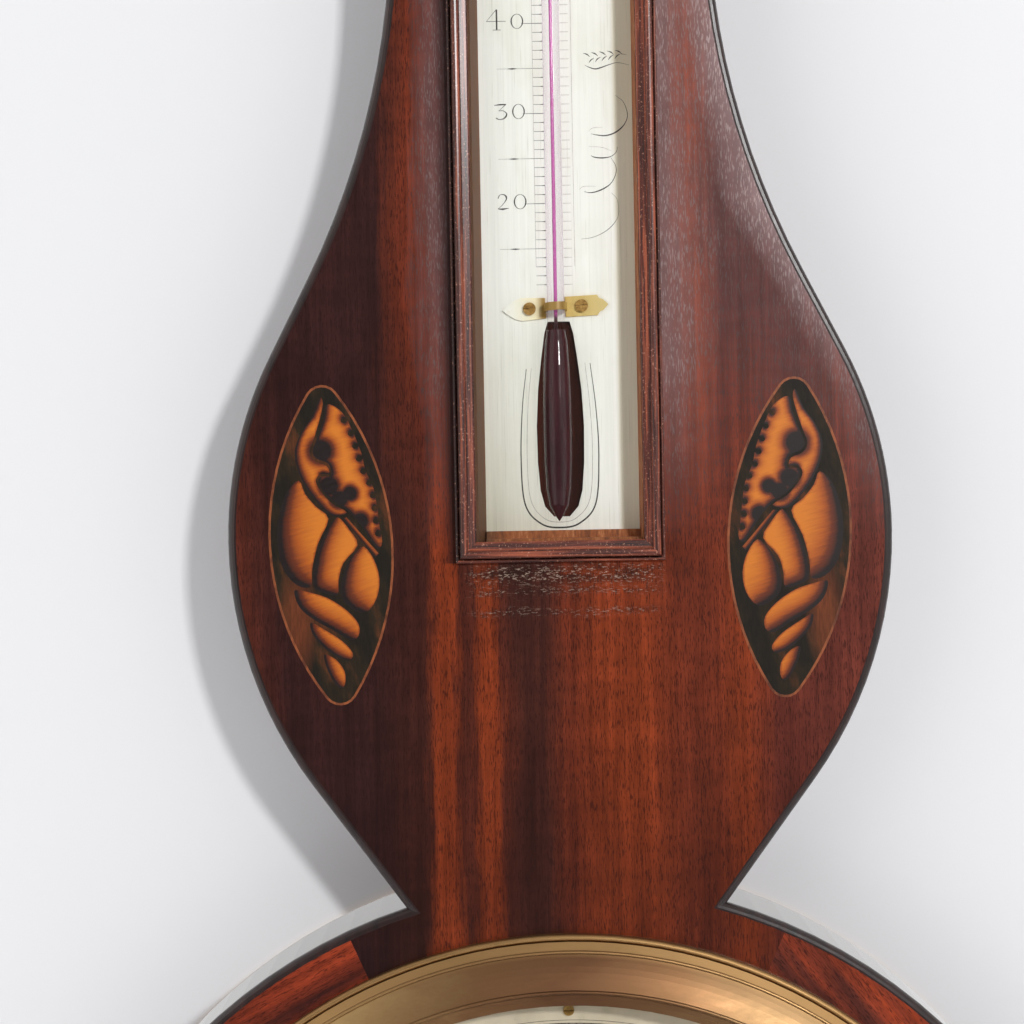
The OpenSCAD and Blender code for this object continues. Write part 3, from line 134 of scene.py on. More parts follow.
class Finish(Nodes):
    """One surface finish: a material, its shader, and textures counted from the dial's centre."""
    endless = 9999

    def __init__(self, name, **shader):
        self.material = bpy.data.materials.new(name)
        self.material.use_nodes = True
        super().__init__(self.material.node_tree)
        self.shader = self.tree.nodes["Principled BSDF"]
        for socket, value in shader.items():
            self.shader.inputs[socket.replace("_", " ")].default_value = value

    def place(self, size=(1, 1, 1), at=(0, 0, 0), turn=0):
        """Places counted from the dial's centre, in steps of size, in millimetres."""
        corner = [p * MM for p in at]
        corner[2] += dial_z
        return self.add("Mapping", {
            "Vector": self.add("TexCoord", output="Object"), "Location": corner,
            "Rotation": (0, turn, 0), "Scale": [s * MM for s in size]}, vector_type="TEXTURE")

    def share(self, axis, start, end):
        """How far a point lies from start to end along an axis: 0 at start, 1 at end."""
        spot = self.place((end - start,) * 3, (start,) * 3)
        return self.add("SeparateXYZ", {"Vector": spot}, output=axis)

    def distance(self, size=(1, 1), at=(0, 0)):
        """How far a point lies from a line that runs from front to back, in steps of size in X and Z."""
        spot = self.place((size[0], self.endless, size[1]), (at[0], 0, at[1]))
        return self.add("VectorMath", {0: spot}, output="Value", operation="LENGTH")

    def noise(self, size, detail=3.0, rough=0.55, at=(0, 0, 0), turn=0):
        spot = self.place(size, at, turn)
        return self.add("TexNoise", {"Vector": spot, "Scale": 1.0, "Detail": detail, "Roughness": rough})

    def sway(self, noise, amount):
        """A noise as a shift to both sides, of that amount from end to end."""
        return self.reckon("MULTIPLY", self.reckon("SUBTRACT", noise, 0.5), amount)

    def bump(self, height, depth):
        """Relief of that depth in millimetres."""
        normal = self.add("Bump", {"Height": height, "Distance": depth * MM, "Strength": 1.0})
        self.feed(self.shader.inputs["Normal"], normal)

    def paint(self, colour, roughness=None):
        self.feed(self.shader.inputs["Base Color"], colour)
        if roughness is not None:
            self.feed(self.shader.inputs["Roughness"], roughness)


def dress(finish, *names, crease=28):
    """Puts a finish on whole CAD pieces and rounds the shading between their faces."""
    for name in names:
        mesh = nodes[name].data
        mesh.materials.clear()
        mesh.materials.append(finish.material)
        mesh.shade_smooth()
        mesh.set_sharp_from_angle(angle=math.radians(crease))


def pine_grain(finish, at=(0, 0, 0)):
    """Pale softwood with darker year lines along the board, greyed by dust."""
    waver = finish.noise((16, 16, 140), 2.0, at=at)
    lines = finish.noise((1.6, 9, 260), 2.0, at=at)
    year = finish.ramp(finish.mix(0.35, lines, waver), (0.35, tint(150, 108, 66)),
                       (0.52, tint(196, 154, 104)), (0.68, tint(176, 132, 84)))
    dust = finish.ramp(finish.noise((30, 30, 45), 5.0, 0.7, at=at), (0.4, 0.0), (0.75, 0.6))
    return finish.mix(dust, year, tint(128, 104, 78))


bare_reach = 113
case_wood = Finish("stained_case_side", Coat_Weight=1.0, Coat_Roughness=0.1, Specular_IOR_Level=0.2)
side_streak = case_wood.noise((3, 26, 60), 4.0)
side_colour = case_wood.ramp(side_streak, (0.3, tint(36, 17, 13)), (0.55, tint(62, 28, 20)),
                             (0.8, tint(90, 42, 28)))
facing = case_wood.add("SeparateXYZ", {"Vector": case_wood.add("NewGeometry", output="Normal")}, output="Y")
is_back = case_wood.reckon("GREATER_THAN", facing, 0.5)
is_hollow = case_wood.reckon("LESS_THAN", case_wood.distance(), bare_reach)
bare = case_wood.reckon("MAXIMUM", is_back, is_hollow)
case_wood.paint(case_wood.mix(bare, side_colour, pine_grain(case_wood)),
                case_wood.ramp(bare, (0.0, 0.2), (1.0, 0.85)))
dress(case_wood, "carcass")

# Face veneer. The trunk is one leaf of straight grained mahogany, knife cut and glued upright,
# and the round body has two more leaves laid across. The face is French polished.
smoky = tint(49, 24, 22)
umber = tint(64, 29, 21)
chestnut = tint(80, 34, 22)
auburn = tint(92, 39, 28)
russet = tint(104, 42, 23)
copper = tint(126, 51, 23)
dusty_brown = tint(79, 36, 31)
dusty_red = tint(101, 46, 35)

# Where each tone of the grain lies across the leaf, at the foot of the trunk and then higher up
low_bands = (
    (-80, auburn), (-74, chestnut), (-66, smoky), (-46, smoky), (-31.5, umber), (-29, copper),
    (-24.5, copper), (-22.5, chestnut), (-20.5, chestnut), (-19, copper), (-16, copper), (-14, chestnut),
    (-11, umber), (-3.5, umber), (3, russet), (9, copper), (20, copper), (28, russet), (36, russet),
    (43, copper), (51, auburn), (64, dusty_red), (80, dusty_red))
high_bands = (
    (-80, smoky), (-41, smoky), (-38.5, chestnut), (-34, russet), (-30, auburn), (-26, dusty_brown),
    (26, dusty_red), (33, copper), (39, dusty_brown), (58, dusty_brown), (64, dusty_red), (80, dusty_brown))
band_reach = 80
band_change = (200, 262)
# How strongly the grey painted sheen lies across the leaf, and how high it reaches
sheen_bands = ((-34, 0.0), (-29, 0.2), (25, 0.58), (32, 0.24), (40, 0.08), (58, 0.12), (80, 0.2))
sheen_rise = (205, 417)
shoulder = ((215, 79), (240, 73.5), (263, 62), (287, 48), (310, 42), (333, 38.5))
neck_dark = (128, 172)
scuff_x = (-23, 25)
scuff_z = (189, 202)


def polished_mahogany(name):
    """Veneer under many thin coats of shellac, which has dulled with age."""
    return Finish(name, Coat_Weight=0.6, Coat_Roughness=0.22, Specular_IOR_Level=0.05)


def grained(finish, colour, along=60, turn=0.0):
    """Streaks, ripple and open pores laid over a base colour; returns the colour and the pores."""
    streak = finish.ramp(finish.noise((1.5, 9, along), 4.0, 0.6, turn=turn), (0.3, 0.74), (0.7, 1.28))
    fine = finish.ramp(finish.noise((0.34, 9, along * 0.2), 3.0, 0.6, turn=turn), (0.3, 0.84), (0.7, 1.18))
    cloud = finish.ramp(finish.noise((7, 9, 34), 4.0, 0.65, turn=turn), (0.3, 0.78), (0.7, 1.22))
    ripple = finish.ramp(finish.noise((12, 9, 3.4), 3.0, turn=turn), (0.35, 0.9), (0.65, 1.1))
    pores = finish.ramp(finish.noise((0.21, 9, 1.7), 2.0, 0.4, turn=turn), (0.56, 0.0), (0.63, 1.0))
    for layer in (streak, fine, cloud, ripple):
        colour = finish.mix(1.0, colour, layer, "MULTIPLY")
    return finish.mix(finish.reckon("MULTIPLY", pores, 0.6), colour, tint(34, 13, 10)), pores


trunk = polished_mahogany("trunk_mahogany")
wander = trunk.sway(trunk.noise((11, 9, 70), 4.0), 0.07)
feather = trunk.sway(trunk.noise((1.3, 9, 16), 3.0), 0.03)
straight = trunk.share("X", -band_reach, band_reach)
across_trunk = trunk.reckon("ADD", straight, trunk.reckon("ADD", wander, feather))
low_leaf, high_leaf, sheen_leaf = [
    trunk.ramp(across_trunk, *[((x + band_reach) / (2 * band_reach), colour) for x, colour in bands])
    for bands in (low_bands, high_bands, sheen_bands)]
banded = trunk.mix(trunk.share("Z", *band_change), low_leaf, high_leaf)
neck_shade = trunk.ramp(trunk.share("Z", *neck_dark), (0.0, 0.68), (1.0, 1.0))
banded = trunk.mix(1.0, banded, neck_shade, "MULTIPLY")
trunk_colour, trunk_pores = grained(trunk, banded)

# Painted sheen: the lamp's grey glare is painted over the veneer beside the frame, up the right side and
# along the shoulder's right edge
sheen_patch = trunk.ramp(trunk.noise((12, 9, 26), 4.0, 0.6), (0.3, 0.6), (0.7, 1.2))
sheen_up = trunk.ramp(trunk.share("Z", *sheen_rise), (0.0, 0.0), (0.33, 1.0), (0.65, 1.0), (1.0, 0.1))
(shoulder_foot, shoulder_wide), (shoulder_head, _) = shoulder[0], shoulder[-1]
shoulder_rise = shoulder_head - shoulder_foot
shoulder_turns = [((z - shoulder_foot) / shoulder_rise, x / shoulder_wide) for z, x in shoulder]
shoulder_x = trunk.ramp(trunk.share("Z", shoulder_foot, shoulder_head), *shoulder_turns)
inward = trunk.reckon("SUBTRACT", shoulder_x, trunk.share("X", 0, shoulder_wide))
rim_glare = trunk.ramp(inward, (0.0, 0.85), (0.04, 0.55), (0.14, 0.0))
sheen_across = trunk.reckon("MAXIMUM", sheen_leaf, rim_glare)
# Painted sheen: how much grey glare is painted on each point of the trunk
sheen_and_tarnish = trunk.reckon("MULTIPLY", sheen_across, trunk.reckon("MULTIPLY", sheen_up, sheen_patch))
trunk_colour = trunk.mix(sheen_and_tarnish, trunk_colour, tint(156, 132, 132))
# Pale pores inside the painted sheen: part dust, part painted glints
dust_and_glint_pores = trunk.reckon("MULTIPLY", trunk.reckon("MULTIPLY", sheen_and_tarnish, trunk_pores), 0.8)
trunk_colour = trunk.mix(dust_and_glint_pores, trunk_colour, tint(204, 182, 178))

# Painted shadow: the veneer is darkened in a strip along the left side of the thermometer frame, above the
# bottom rail
stile_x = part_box("left_stile")[0].x / MM
rail_z = (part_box("bottom_rail")[0].z - dial_z) / MM
frame_shadow_x = (stile_x - 3.2, stile_x + 0.8)
beside = trunk.ramp(trunk.share("X", *frame_shadow_x), (0.0, 0.0), (0.5, 0.75), (0.85, 0.8), (1.0, 0.0))
above_rail = trunk.reckon("GREATER_THAN", trunk.share("Z", rail_z, rail_z + 1), 0.0)
painted_frame_shadow = trunk.reckon("MULTIPLY", beside, above_rail)
trunk_colour = trunk.mix(painted_frame_shadow, trunk_colour, tint(34, 19, 17))

# The polish below the thermometer is crazed and chipped in three rows, as if a frame had rubbed it
scuff_along = trunk.ramp(trunk.share("X", *scuff_x), (0.0, 0.0), (0.12, 1.0), (0.9, 1.0), (1.0, 0.0))
scuff_sway = trunk.sway(trunk.noise((9, 9, 9), 3.0), 0.3)
scuff_down = trunk.reckon("ADD", trunk.share("Z", *scuff_z), scuff_sway)
rows = trunk.ramp(scuff_down, (0.0, 0.0), (0.1, 0.5), (0.2, 0.0), (0.38, 0.05), (0.46, 0.6), (0.54, 0.1),
                  (0.64, 0.5), (0.78, 1.0), (0.9, 0.6), (1.0, 0.0))
worn_rows = trunk.reckon("MULTIPLY", scuff_along, rows)
crazed = trunk.ramp(trunk.noise((9, 9, 2.2), 5.0, 0.7), (0.38, 0.0), (0.54, 0.85))
chips = trunk.ramp(trunk.noise((1.0, 9, 0.36), 3.0, 0.7), (0.55, 0.0), (0.64, 0.95))
crazing = trunk.reckon("MULTIPLY", worn_rows, crazed)
chipped = trunk.reckon("MULTIPLY", worn_rows, chips)
shown_trunk = trunk.mix(chipped, trunk.mix(crazing, trunk_colour, tint(44, 24, 19)), tint(172, 148, 132))
smear = trunk.ramp(trunk.noise((14, 14, 30), 4.0, 0.6), (0.35, 0.36), (0.7, 0.46))
trunk.paint(shown_trunk, trunk.mix(chipped, smear, (0.7, 0.7, 0.7, 1)))
trunk.bump(trunk_pores, -0.004)
dress(trunk, "trunk_veneer")

# The round body's leaves run aslant, and the tail's runs upright
leaf_looks = (("left_roundel_veneer", 62, tint(132, 50, 27)), ("right_roundel_veneer", -38, tint(80, 36, 27)),
              ("tail_veneer", 0, tint(104, 42, 27)))
for name, lean, warm in leaf_looks:
    leaf = polished_mahogany(name.replace("veneer", "mahogany"))
    turn = math.radians(lean)
    wide = leaf.ramp(leaf.noise((7, 9, 90), 3.0, turn=turn), (0.3, tint(62, 26, 20)), (0.5, warm),
                     (0.7, tint(140, 55, 29)))
    leaf_colour, leaf_pores = grained(leaf, wide, 45, turn)
    leaf.paint(leaf_colour, leaf.ramp(leaf.noise((14, 14, 30), 4.0), (0.35, 0.36), (0.7, 0.46)))
    leaf.bump(leaf_pores, -0.004)
    dress(leaf, name)

# Edging. A strip of black stained wood runs round the face as a guard for the veneer,
# bent and glued into a rebate and rounded over; the polish has worn through along its arris.
edging = Finish("black_edging", Coat_Weight=0.55, Coat_Roughness=0.2, Specular_IOR_Level=0.3)
worn = edging.ramp(edging.noise((4, 4, 9), 6.0, 0.75), (0.6, 0.0), (0.72, 0.6))
ebonised = edging.ramp(edging.noise((2, 2, 30), 3.0), (0.3, tint(22, 11, 10)), (0.7, tint(46, 24, 20)))
grit = edging.noise((0.7, 0.7, 3), 4.0, 0.7)
edging.paint(edging.mix(worn, ebonised, tint(78, 38, 28)), edging.ramp(grit, (0.3, 0.3), (0.7, 0.5)))
edging.bump(grit, 0.02)
dress(edging, "left_edging", "right_edging", crease=50)

# Marquetry. Each oval is a dark stained ground with a pale string round it, cut and glued as
# one patch, and the shell is sawn from light wood whose edges are scorched in hot sand.
oval_at = (-53.7, 206.8)
oval_lean = math.radians(2.7)
lobe_grid = 0.5 * MM
lobe_start = 0.2 * MM
lobe_margin = 0.25 * MM
least_burn = 0.3 * MM
lip_burn = 1.0 * MM
lobe_burn = 0.72
mouth_burn = 1.25
cool_side = 0.4
burn_wrap = 0.3
probe_step = 0.02 * MM
scorch_from = Vector((-0.85, -0.5))
lip_spots = ((5, 24), (-4.5, 23.6))
mouths = ((-1.0, 22.2, 3.2), (0.4, 13.9, 2.7), (2.6, 10.6, 2.4), (5.2, 11.8, 2.0), (7.2, 5.2, 2.3))


def shell_spot(x, z, mirror):
    """A place on one shell, counted from its oval's centre, as X and Z in the part."""
    turn = -oval_lean * mirror
    x *= mirror
    across = oval_at[0] * mirror + x * math.cos(turn) + z * math.sin(turn)
    up = oval_at[1] - x * math.sin(turn) + z * math.cos(turn)
    return np.array((across * MM, up * MM + dial_z))


def front_lobes(name):
    """The closed pieces of a CAD node's front face, each as its boundary edges in X and Z."""
    mesh = nodes[name].data
    mesh.calc_loop_triangles()
    corner = [(round(v.co.x, 6), round(v.co.z, 6)) for v in mesh.vertices]
    front_y = min(v.co.y for v in mesh.vertices)
    lead = {}

    def leader(point):
        while lead[point] != point:
            point = lead[point]
        return point

    used = {}
    for triangle in mesh.loop_triangles:
        if all(abs(mesh.vertices[i].co.y - front_y) < 1e-6 for i in triangle.vertices):
            ring = [corner[i] for i in triangle.vertices]
            for point in ring:
                lead.setdefault(point, point)
            for a, b in zip(ring, ring[1:] + ring[:1]):
                lead[leader(a)] = leader(b)
                used.setdefault(frozenset((a, b)), []).append((a, b))
    lobes = {}
    for edge, uses in used.items():
        if len(uses) == 1 and len(edge) == 2:
            lobes.setdefault(leader(uses[0][0]), []).append(uses[0])
    return front_y, list(lobes.values())


def inside(points, edges):
    """Which points lie inside the closed edges, by counting crossings."""
    a = np.array([e[0] for e in edges])
    b = np.array([e[1] for e in edges])
    x, z = points[:, :1], points[:, 1:]
    spans = (a[:, 1] > z) != (b[:, 1] > z)
    slope = (b[:, 0] - a[:, 0]) / np.where(b[:, 1] == a[:, 1], 1e-12, b[:, 1] - a[:, 1])
    return (spans & (x < a[:, 0] + (z - a[:, 1]) * slope)).sum(1) % 2 == 1


def edge_distance(points, edges):
    """Distance of each point from each edge."""
    a = np.array([e[0] for e in edges])
    along = np.array([e[1] for e in edges]) - a
    offset = points[:, None] - a
    t = np.clip((offset * along).sum(2) / (along ** 2).sum(1), 0, 1)
    return np.linalg.norm(offset - t[..., None] * along, axis=2)


def scorch(points, edges, mirror):
    """How dark the sand burnt each point: most along the edges that face the scorching side."""
    a = np.array([e[0] for e in edges])
    along = np.array([e[1] for e in edges]) - a
    outward = np.stack([along[:, 1], -along[:, 0]], 1) / np.linalg.norm(along, axis=1)[:, None]
    probe = a + along / 2 + outward * probe_step
    outward[inside(probe, edges)] *= -1
    toward = outward @ np.array((scorch_from.x * mirror, scorch_from.y))
    weight = cool_side + (1 - cool_side) * np.clip(toward + burn_wrap, 0, 1)
    is_lip = inside(np.array([shell_spot(*spot, mirror) for spot in lip_spots]), edges).any()
    distance = edge_distance(points, edges)
    deepest = lip_burn if is_lip else lobe_burn * distance.min(1).max()
    reach = least_burn + deepest * np.clip(toward, 0, 1)
    burn = (weight * np.exp(-distance / reach)).max(1)
    if is_lip:
        for x, z, size in mouths:
            away = np.linalg.norm(points - shell_spot(x, z, mirror), axis=1) / size / MM
            burn = np.maximum(burn, mouth_burn * np.exp(-away ** 2))
    return np.clip(burn, 0, 1)


shell_low, shell_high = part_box("shell_inlays")
lobe_depth = shell_high.y - shell_low.y
shell_y, lobes = front_lobes("shell_inlays")
shell_mesh = bmesh.new()
burnt = shell_mesh.verts.layers.float.new("burn")
for edges in lobes:
    border = sorted({p for e in edges for p in e})
    low, high = np.min(border, 0), np.max(border, 0)
    mirror = 1 if (low[0] + high[0]) < 0 else -1
    lines = [np.arange(low[i] + lobe_start, high[i], lobe_grid) for i in (0, 1)]
    grid = np.stack(np.meshgrid(*lines), -1).reshape(-1, 2)
    grid = grid[inside(grid, edges)]
    grid = grid[edge_distance(grid, edges).min(1) > lobe_margin]
    points = [Vector(p) / MM for p in border + [tuple(p) for p in grid]]
    links = [(border.index(a), border.index(b)) for a, b in edges]
    flat, _, triangles, *_ = geometry.delaunay_2d_cdt(points, links, [], 0, 1e-6)
    flat = np.array([tuple(p) for p in flat]) * MM
    centres = np.array([flat[list(t)].mean(0) for t in triangles])
    kept = inside(centres, edges)
    dark = scorch(flat, edges, mirror)
    made = [shell_mesh.verts.new((p[0], shell_y, p[1])) for p in flat]
    for vert, amount in zip(made, dark):
        vert[burnt] = amount
    for triangle, keep in zip(triangles, kept):
        if keep:
            shell_mesh.faces.new([made[i] for i in triangle])
loose = [v for v in shell_mesh.verts if not v.link_faces]
bmesh.ops.delete(shell_mesh, geom=loose, context="VERTS")
bmesh.ops.recalc_face_normals(shell_mesh, faces=shell_mesh.faces)
for face in shell_mesh.faces:
    if face.normal.y > 0:
        face.normal_flip()
front = shell_mesh.faces[:]
back = bmesh.ops.extrude_face_region(shell_mesh, geom=front, use_keep_orig=True)
back_verts = [g for g in back["geom"] if isinstance(g, bmesh.types.BMVert)]
bmesh.ops.translate(shell_mesh, verts=back_verts, vec=(0, lobe_depth, 0))
bmesh.ops.recalc_face_normals(shell_mesh, faces=shell_mesh.faces)


def new_piece(name, mesh, finish, body):
    """Adds a mesh as a piece of the object that moves with one CAD body."""
    data = bpy.data.meshes.new(name)
    mesh.to_mesh(data)
    mesh.free()
    data.materials.append(finish.material)
    piece = bpy.data.objects.new(name, data)
    bpy.context.scene.collection.objects.link(piece)
    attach(piece, body)
    return piece


shell_wood = Finish("sand_shaded_wood", Coat_Weight=0.2, Coat_Roughness=0.25, Specular_IOR_Level=0.3)
burn = shell_wood.add("Attribute", output="Fac", attribute_name="burn")
flame = shell_wood.noise((0.5, 9, 4), 4.0, 0.6, turn=1.3)
uneven = shell_wood.reckon("ADD", burn, shell_wood.sway(flame, 0.2))
shell_wood.paint(shell_wood.ramp(uneven, (0.06, tint(206, 118, 36)), (0.26, tint(170, 84, 24)),
                                 (0.46, tint(102, 42, 16)), (0.74, tint(26, 14, 13))),
                 shell_wood.ramp(flame, (0.3, 0.35), (0.7, 0.5)))
shells = new_piece("burnt_shells", shell_mesh, shell_wood, "case")
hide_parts("shell_inlays")

# The ground's stain has worn thin in a patch at the outer foot of each oval
ground = Finish("stained_ground", Coat_Weight=0.15, Coat_Roughness=0.25, Specular_IOR_Level=0.15)
patch = ground.noise((5, 9, 14), 4.0, 0.6, turn=-0.3)
fleck = ground.ramp(ground.noise((0.4, 9, 3), 3.0), (0.35, 0.8), (0.7, 1.2))
stained = ground.ramp(patch, (0.4, tint(28, 22, 15)), (0.55, tint(42, 32, 19)), (0.7, tint(84, 46, 24)))
thin_size = (5, 15)
thin_at = (-61.7, 189)
from_thin = [ground.distance(thin_size, (thin_at[0] * side, thin_at[1])) for side in (1, -1)]
thin_patch = ground.ramp(ground.reckon("MINIMUM", *from_thin), (0.3, 0.75), (1.0, 0.0))
stained = ground.mix(thin_patch, stained, tint(112, 56, 30))
ground.paint(ground.mix(1.0, stained, fleck, "MULTIPLY"), ground.ramp(fleck, (0.3, 0.4), (0.9, 0.5)))
dress(ground, "inlay_grounds")
string = Finish("pale_string", Coat_Weight=0.35, Coat_Roughness=0.25, Specular_IOR_Level=0.3)
aged = string.noise((2, 9, 5), 4.0, 0.7)
string.paint(string.ramp(aged, (0.35, tint(88, 44, 26)), (0.6, tint(146, 78, 40))),
             string.ramp(aged, (0.3, 0.36), (0.7, 0.5)))
dress(string, "inlay_strings")

# Pediment, finial and foot. The raking cornices and the foot are run mouldings of mahogany,
# glued and pinned to the head and tail; a turned brass finial plugs into the plinth between them.
moulding = Finish("moulding_mahogany", Coat_Weight=0.5, Coat_Roughness=0.12)
run = moulding.noise((22, 1.0, 1.0), 4.0, 0.6)
run_wood = moulding.ramp(run, (0.3, tint(44, 20, 17)), (0.55, tint(86, 38, 26)), (0.8, tint(116, 52, 34)))
moulding.paint(run_wood, moulding.ramp(moulding.noise((9, 9, 9), 4.0), (0.3, 0.22), (0.7, 0.36)))
dress(moulding, "left_cornice", "right_cornice", "finial_plinth", "foot_block")


def brass(name, bright, dull, patch=12, smooth=0.24, rough=0.42):
    """Lacquered brass that has browned in patches and carries fine rubbing marks."""
    metal = Finish(name, Metallic=1.0)
    cloud = metal.noise((patch, patch, patch), 5.0, 0.65)
    marks = metal.noise((0.5, 0.5, 7), 3.0)
    aged = metal.ramp(cloud, (0.35, dull), (0.68, bright))
    metal.paint(metal.mix(metal.ramp(marks, (0.55, 0.0), (0.75, 0.35)), aged, bright),
                metal.ramp(cloud, (0.3, rough), (0.7, smooth)))
    metal.bump(marks, 0.004)
    return metal


cast_brass = brass("old_brass", tint(196, 158, 88), tint(120, 86, 44))
dress(cast_brass, "finial", crease=40)

# Back. A brass plate with a hole hangs the case on its nail, thin pine covers close the tube's
# channel, and iron screws hold both; the door is hung on two brass butts and held by a button.
pine = Finish("bare_pine", Roughness=0.8)
pine.paint(pine_grain(pine, (40, 0, 25)))
dress(pine, "tube_cover", "tail_cover", "back_door")
dress(cast_brass, "hanging_plate", "door_hinge_fixed_leaves", "door_hinge_moving_leaves", "door_button")
iron = Finish("dull_iron", Metallic=1.0)
rust = iron.noise((1.2, 1.2, 1.2), 5.0, 0.7)
iron.paint(iron.ramp(rust, (0.4, tint(92, 88, 84)), (0.7, tint(78, 58, 44))),
           iron.ramp(rust, (0.3, 0.35), (0.7, 0.6)))
dress(iron, "back_screws")

# Thermometer scale. A silvered brass plate, brushed upright, lies in a pocket of the trunk.
# Degrees, figures and an engraver's flourish are cut into it and filled with black wax.
plate_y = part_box("thermometer_plate")[0].y
ink_lift = 0.03 * MM
ink_depth = 0.025 * MM
zero_z = 244.1
degree = 2.145
rule_x = (-4.4, 4.8)
tick_in = 2.0


def silvered(name, streak, clean, dull, yellowed=(), shadow_edge_x=()):
    """Silvered brass under lacquer: nearly white, a little warm, brushed one way."""
    metal = Finish(name, Metallic=0.0, Specular_IOR_Level=0.2)
    brushed = metal.noise(streak, 4.0, 0.6)
    scratch = metal.ramp(metal.noise([s * 0.45 for s in streak], 3.0), (0.62, 0.0), (0.7, 0.26))
    stain = metal.noise((14, 14, 30), 4.0, 0.6)
    pale = metal.ramp(stain, (0.3, dull), (0.55, clean))
    if yellowed:
        age_up, age_across = [metal.share(axis, *ends) for axis, ends in zip("ZX", yellowed)]
        pale = metal.mix(metal.reckon("MULTIPLY", age_up, age_across), pale, tint(206, 199, 174))
    # Painted shadow: a darker, yellower band along the right edge, where the frame's shadow falls
    if shadow_edge_x:
        edge = metal.ramp(metal.share("X", *shadow_edge_x), (0.0, 0.0), (1.0, 0.55))
        pale = metal.mix(edge, pale, tint(204, 188, 150))
    worked = metal.mix(1.0, pale, metal.ramp(brushed, (0.3, 0.95), (0.7, 1.04)), "MULTIPLY")
    metal.paint(metal.mix(scratch, worked, tint(158, 152, 122)), metal.ramp(brushed, (0.3, 0.4), (0.7, 0.52)))
    metal.bump(brushed, 0.004)
    return metal


yellow_low = ((268, 205), (14, -24))
# Where the frame's painted shadow lies on the scale, in X
scale_shadow_x = (14.1, 15.1)
plate = silvered("silvered_scale", (0.6, 5, 40), tint(255, 254, 248), tint(246, 244, 233), yellow_low,
                 scale_shadow_x)
dress(plate, "thermometer_plate")


class Engraving:
    """Lines cut into a flat plate, gathered as ribbons in X and Z about the dial's centre."""

    def __init__(self, y):
        self.mesh = bmesh.new()
        self.y = y - ink_lift

    def line(self, points, *widths):
        """A ribbon through the points whose width goes evenly through the widths."""
        path = np.array(points, float)
        way = np.gradient(path, axis=0)
        side = np.stack([-way[:, 1], way[:, 0]], 1) / np.maximum(np.linalg.norm(way, axis=1), 1e-9)[:, None]
        steps = np.linspace(0, len(widths) - 1, len(path))
        half = np.interp(steps, range(len(widths)), widths)[:, None] / 2

        def edge(s, depth):
            return [self.mesh.verts.new((x * MM, self.y + depth, z * MM + dial_z))
                    for x, z in path + side * half * s]

        top, low = [[edge(s, depth) for s in (-1, 1)] for depth in (0, ink_depth)]
        for i in range(len(path) - 1):
            self.mesh.faces.new((top[0][i], top[0][i + 1], top[1][i + 1], top[1][i]))
            self.mesh.faces.new((low[1][i], low[1][i + 1], low[0][i + 1], low[0][i]))
            for s in (0, 1):
                self.mesh.faces.new((top[s][i], top[s][i + 1], low[s][i + 1], low[s][i]))
        for end in (0, -1):
            self.mesh.faces.new((top[0][end], top[1][end], low[1][end], low[0][end]))

    def curve(self, points, *widths, steps=8):
        self.line(rounded(points, steps), *widths)

    def finish(self, name, ink):
        bmesh.ops.recalc_face_normals(self.mesh, faces=self.mesh.faces)
        return new_piece(name, self.mesh, ink, "case")


def rounded(points, steps=8):
    """A smooth open curve through the points."""
    p = np.array(points, float)
    p = np.vstack([2 * p[0] - p[1], p, 2 * p[-1] - p[-2]])
    curve = []
    for a, b, c, d in zip(p, p[1:], p[2:], p[3:]):
        for t in np.arange(steps) / steps:
            curve.append(b + 0.5 * ((c - a) * t + (2 * a - 5 * b + 4 * c - d) * t ** 2
                                    + (3 * b - a - 3 * c + d) * t ** 3))
    return np.array(curve + [p[-2]])


oval_points = 25


def oval(x, z, across, tall, start=0, end=360):
    """Points on an oval from one angle to another, counted from the right towards the top."""
    return [(x + across * math.cos(math.radians(a)), z + tall * math.sin(math.radians(a)))
            for a in np.linspace(start, end, oval_points)]


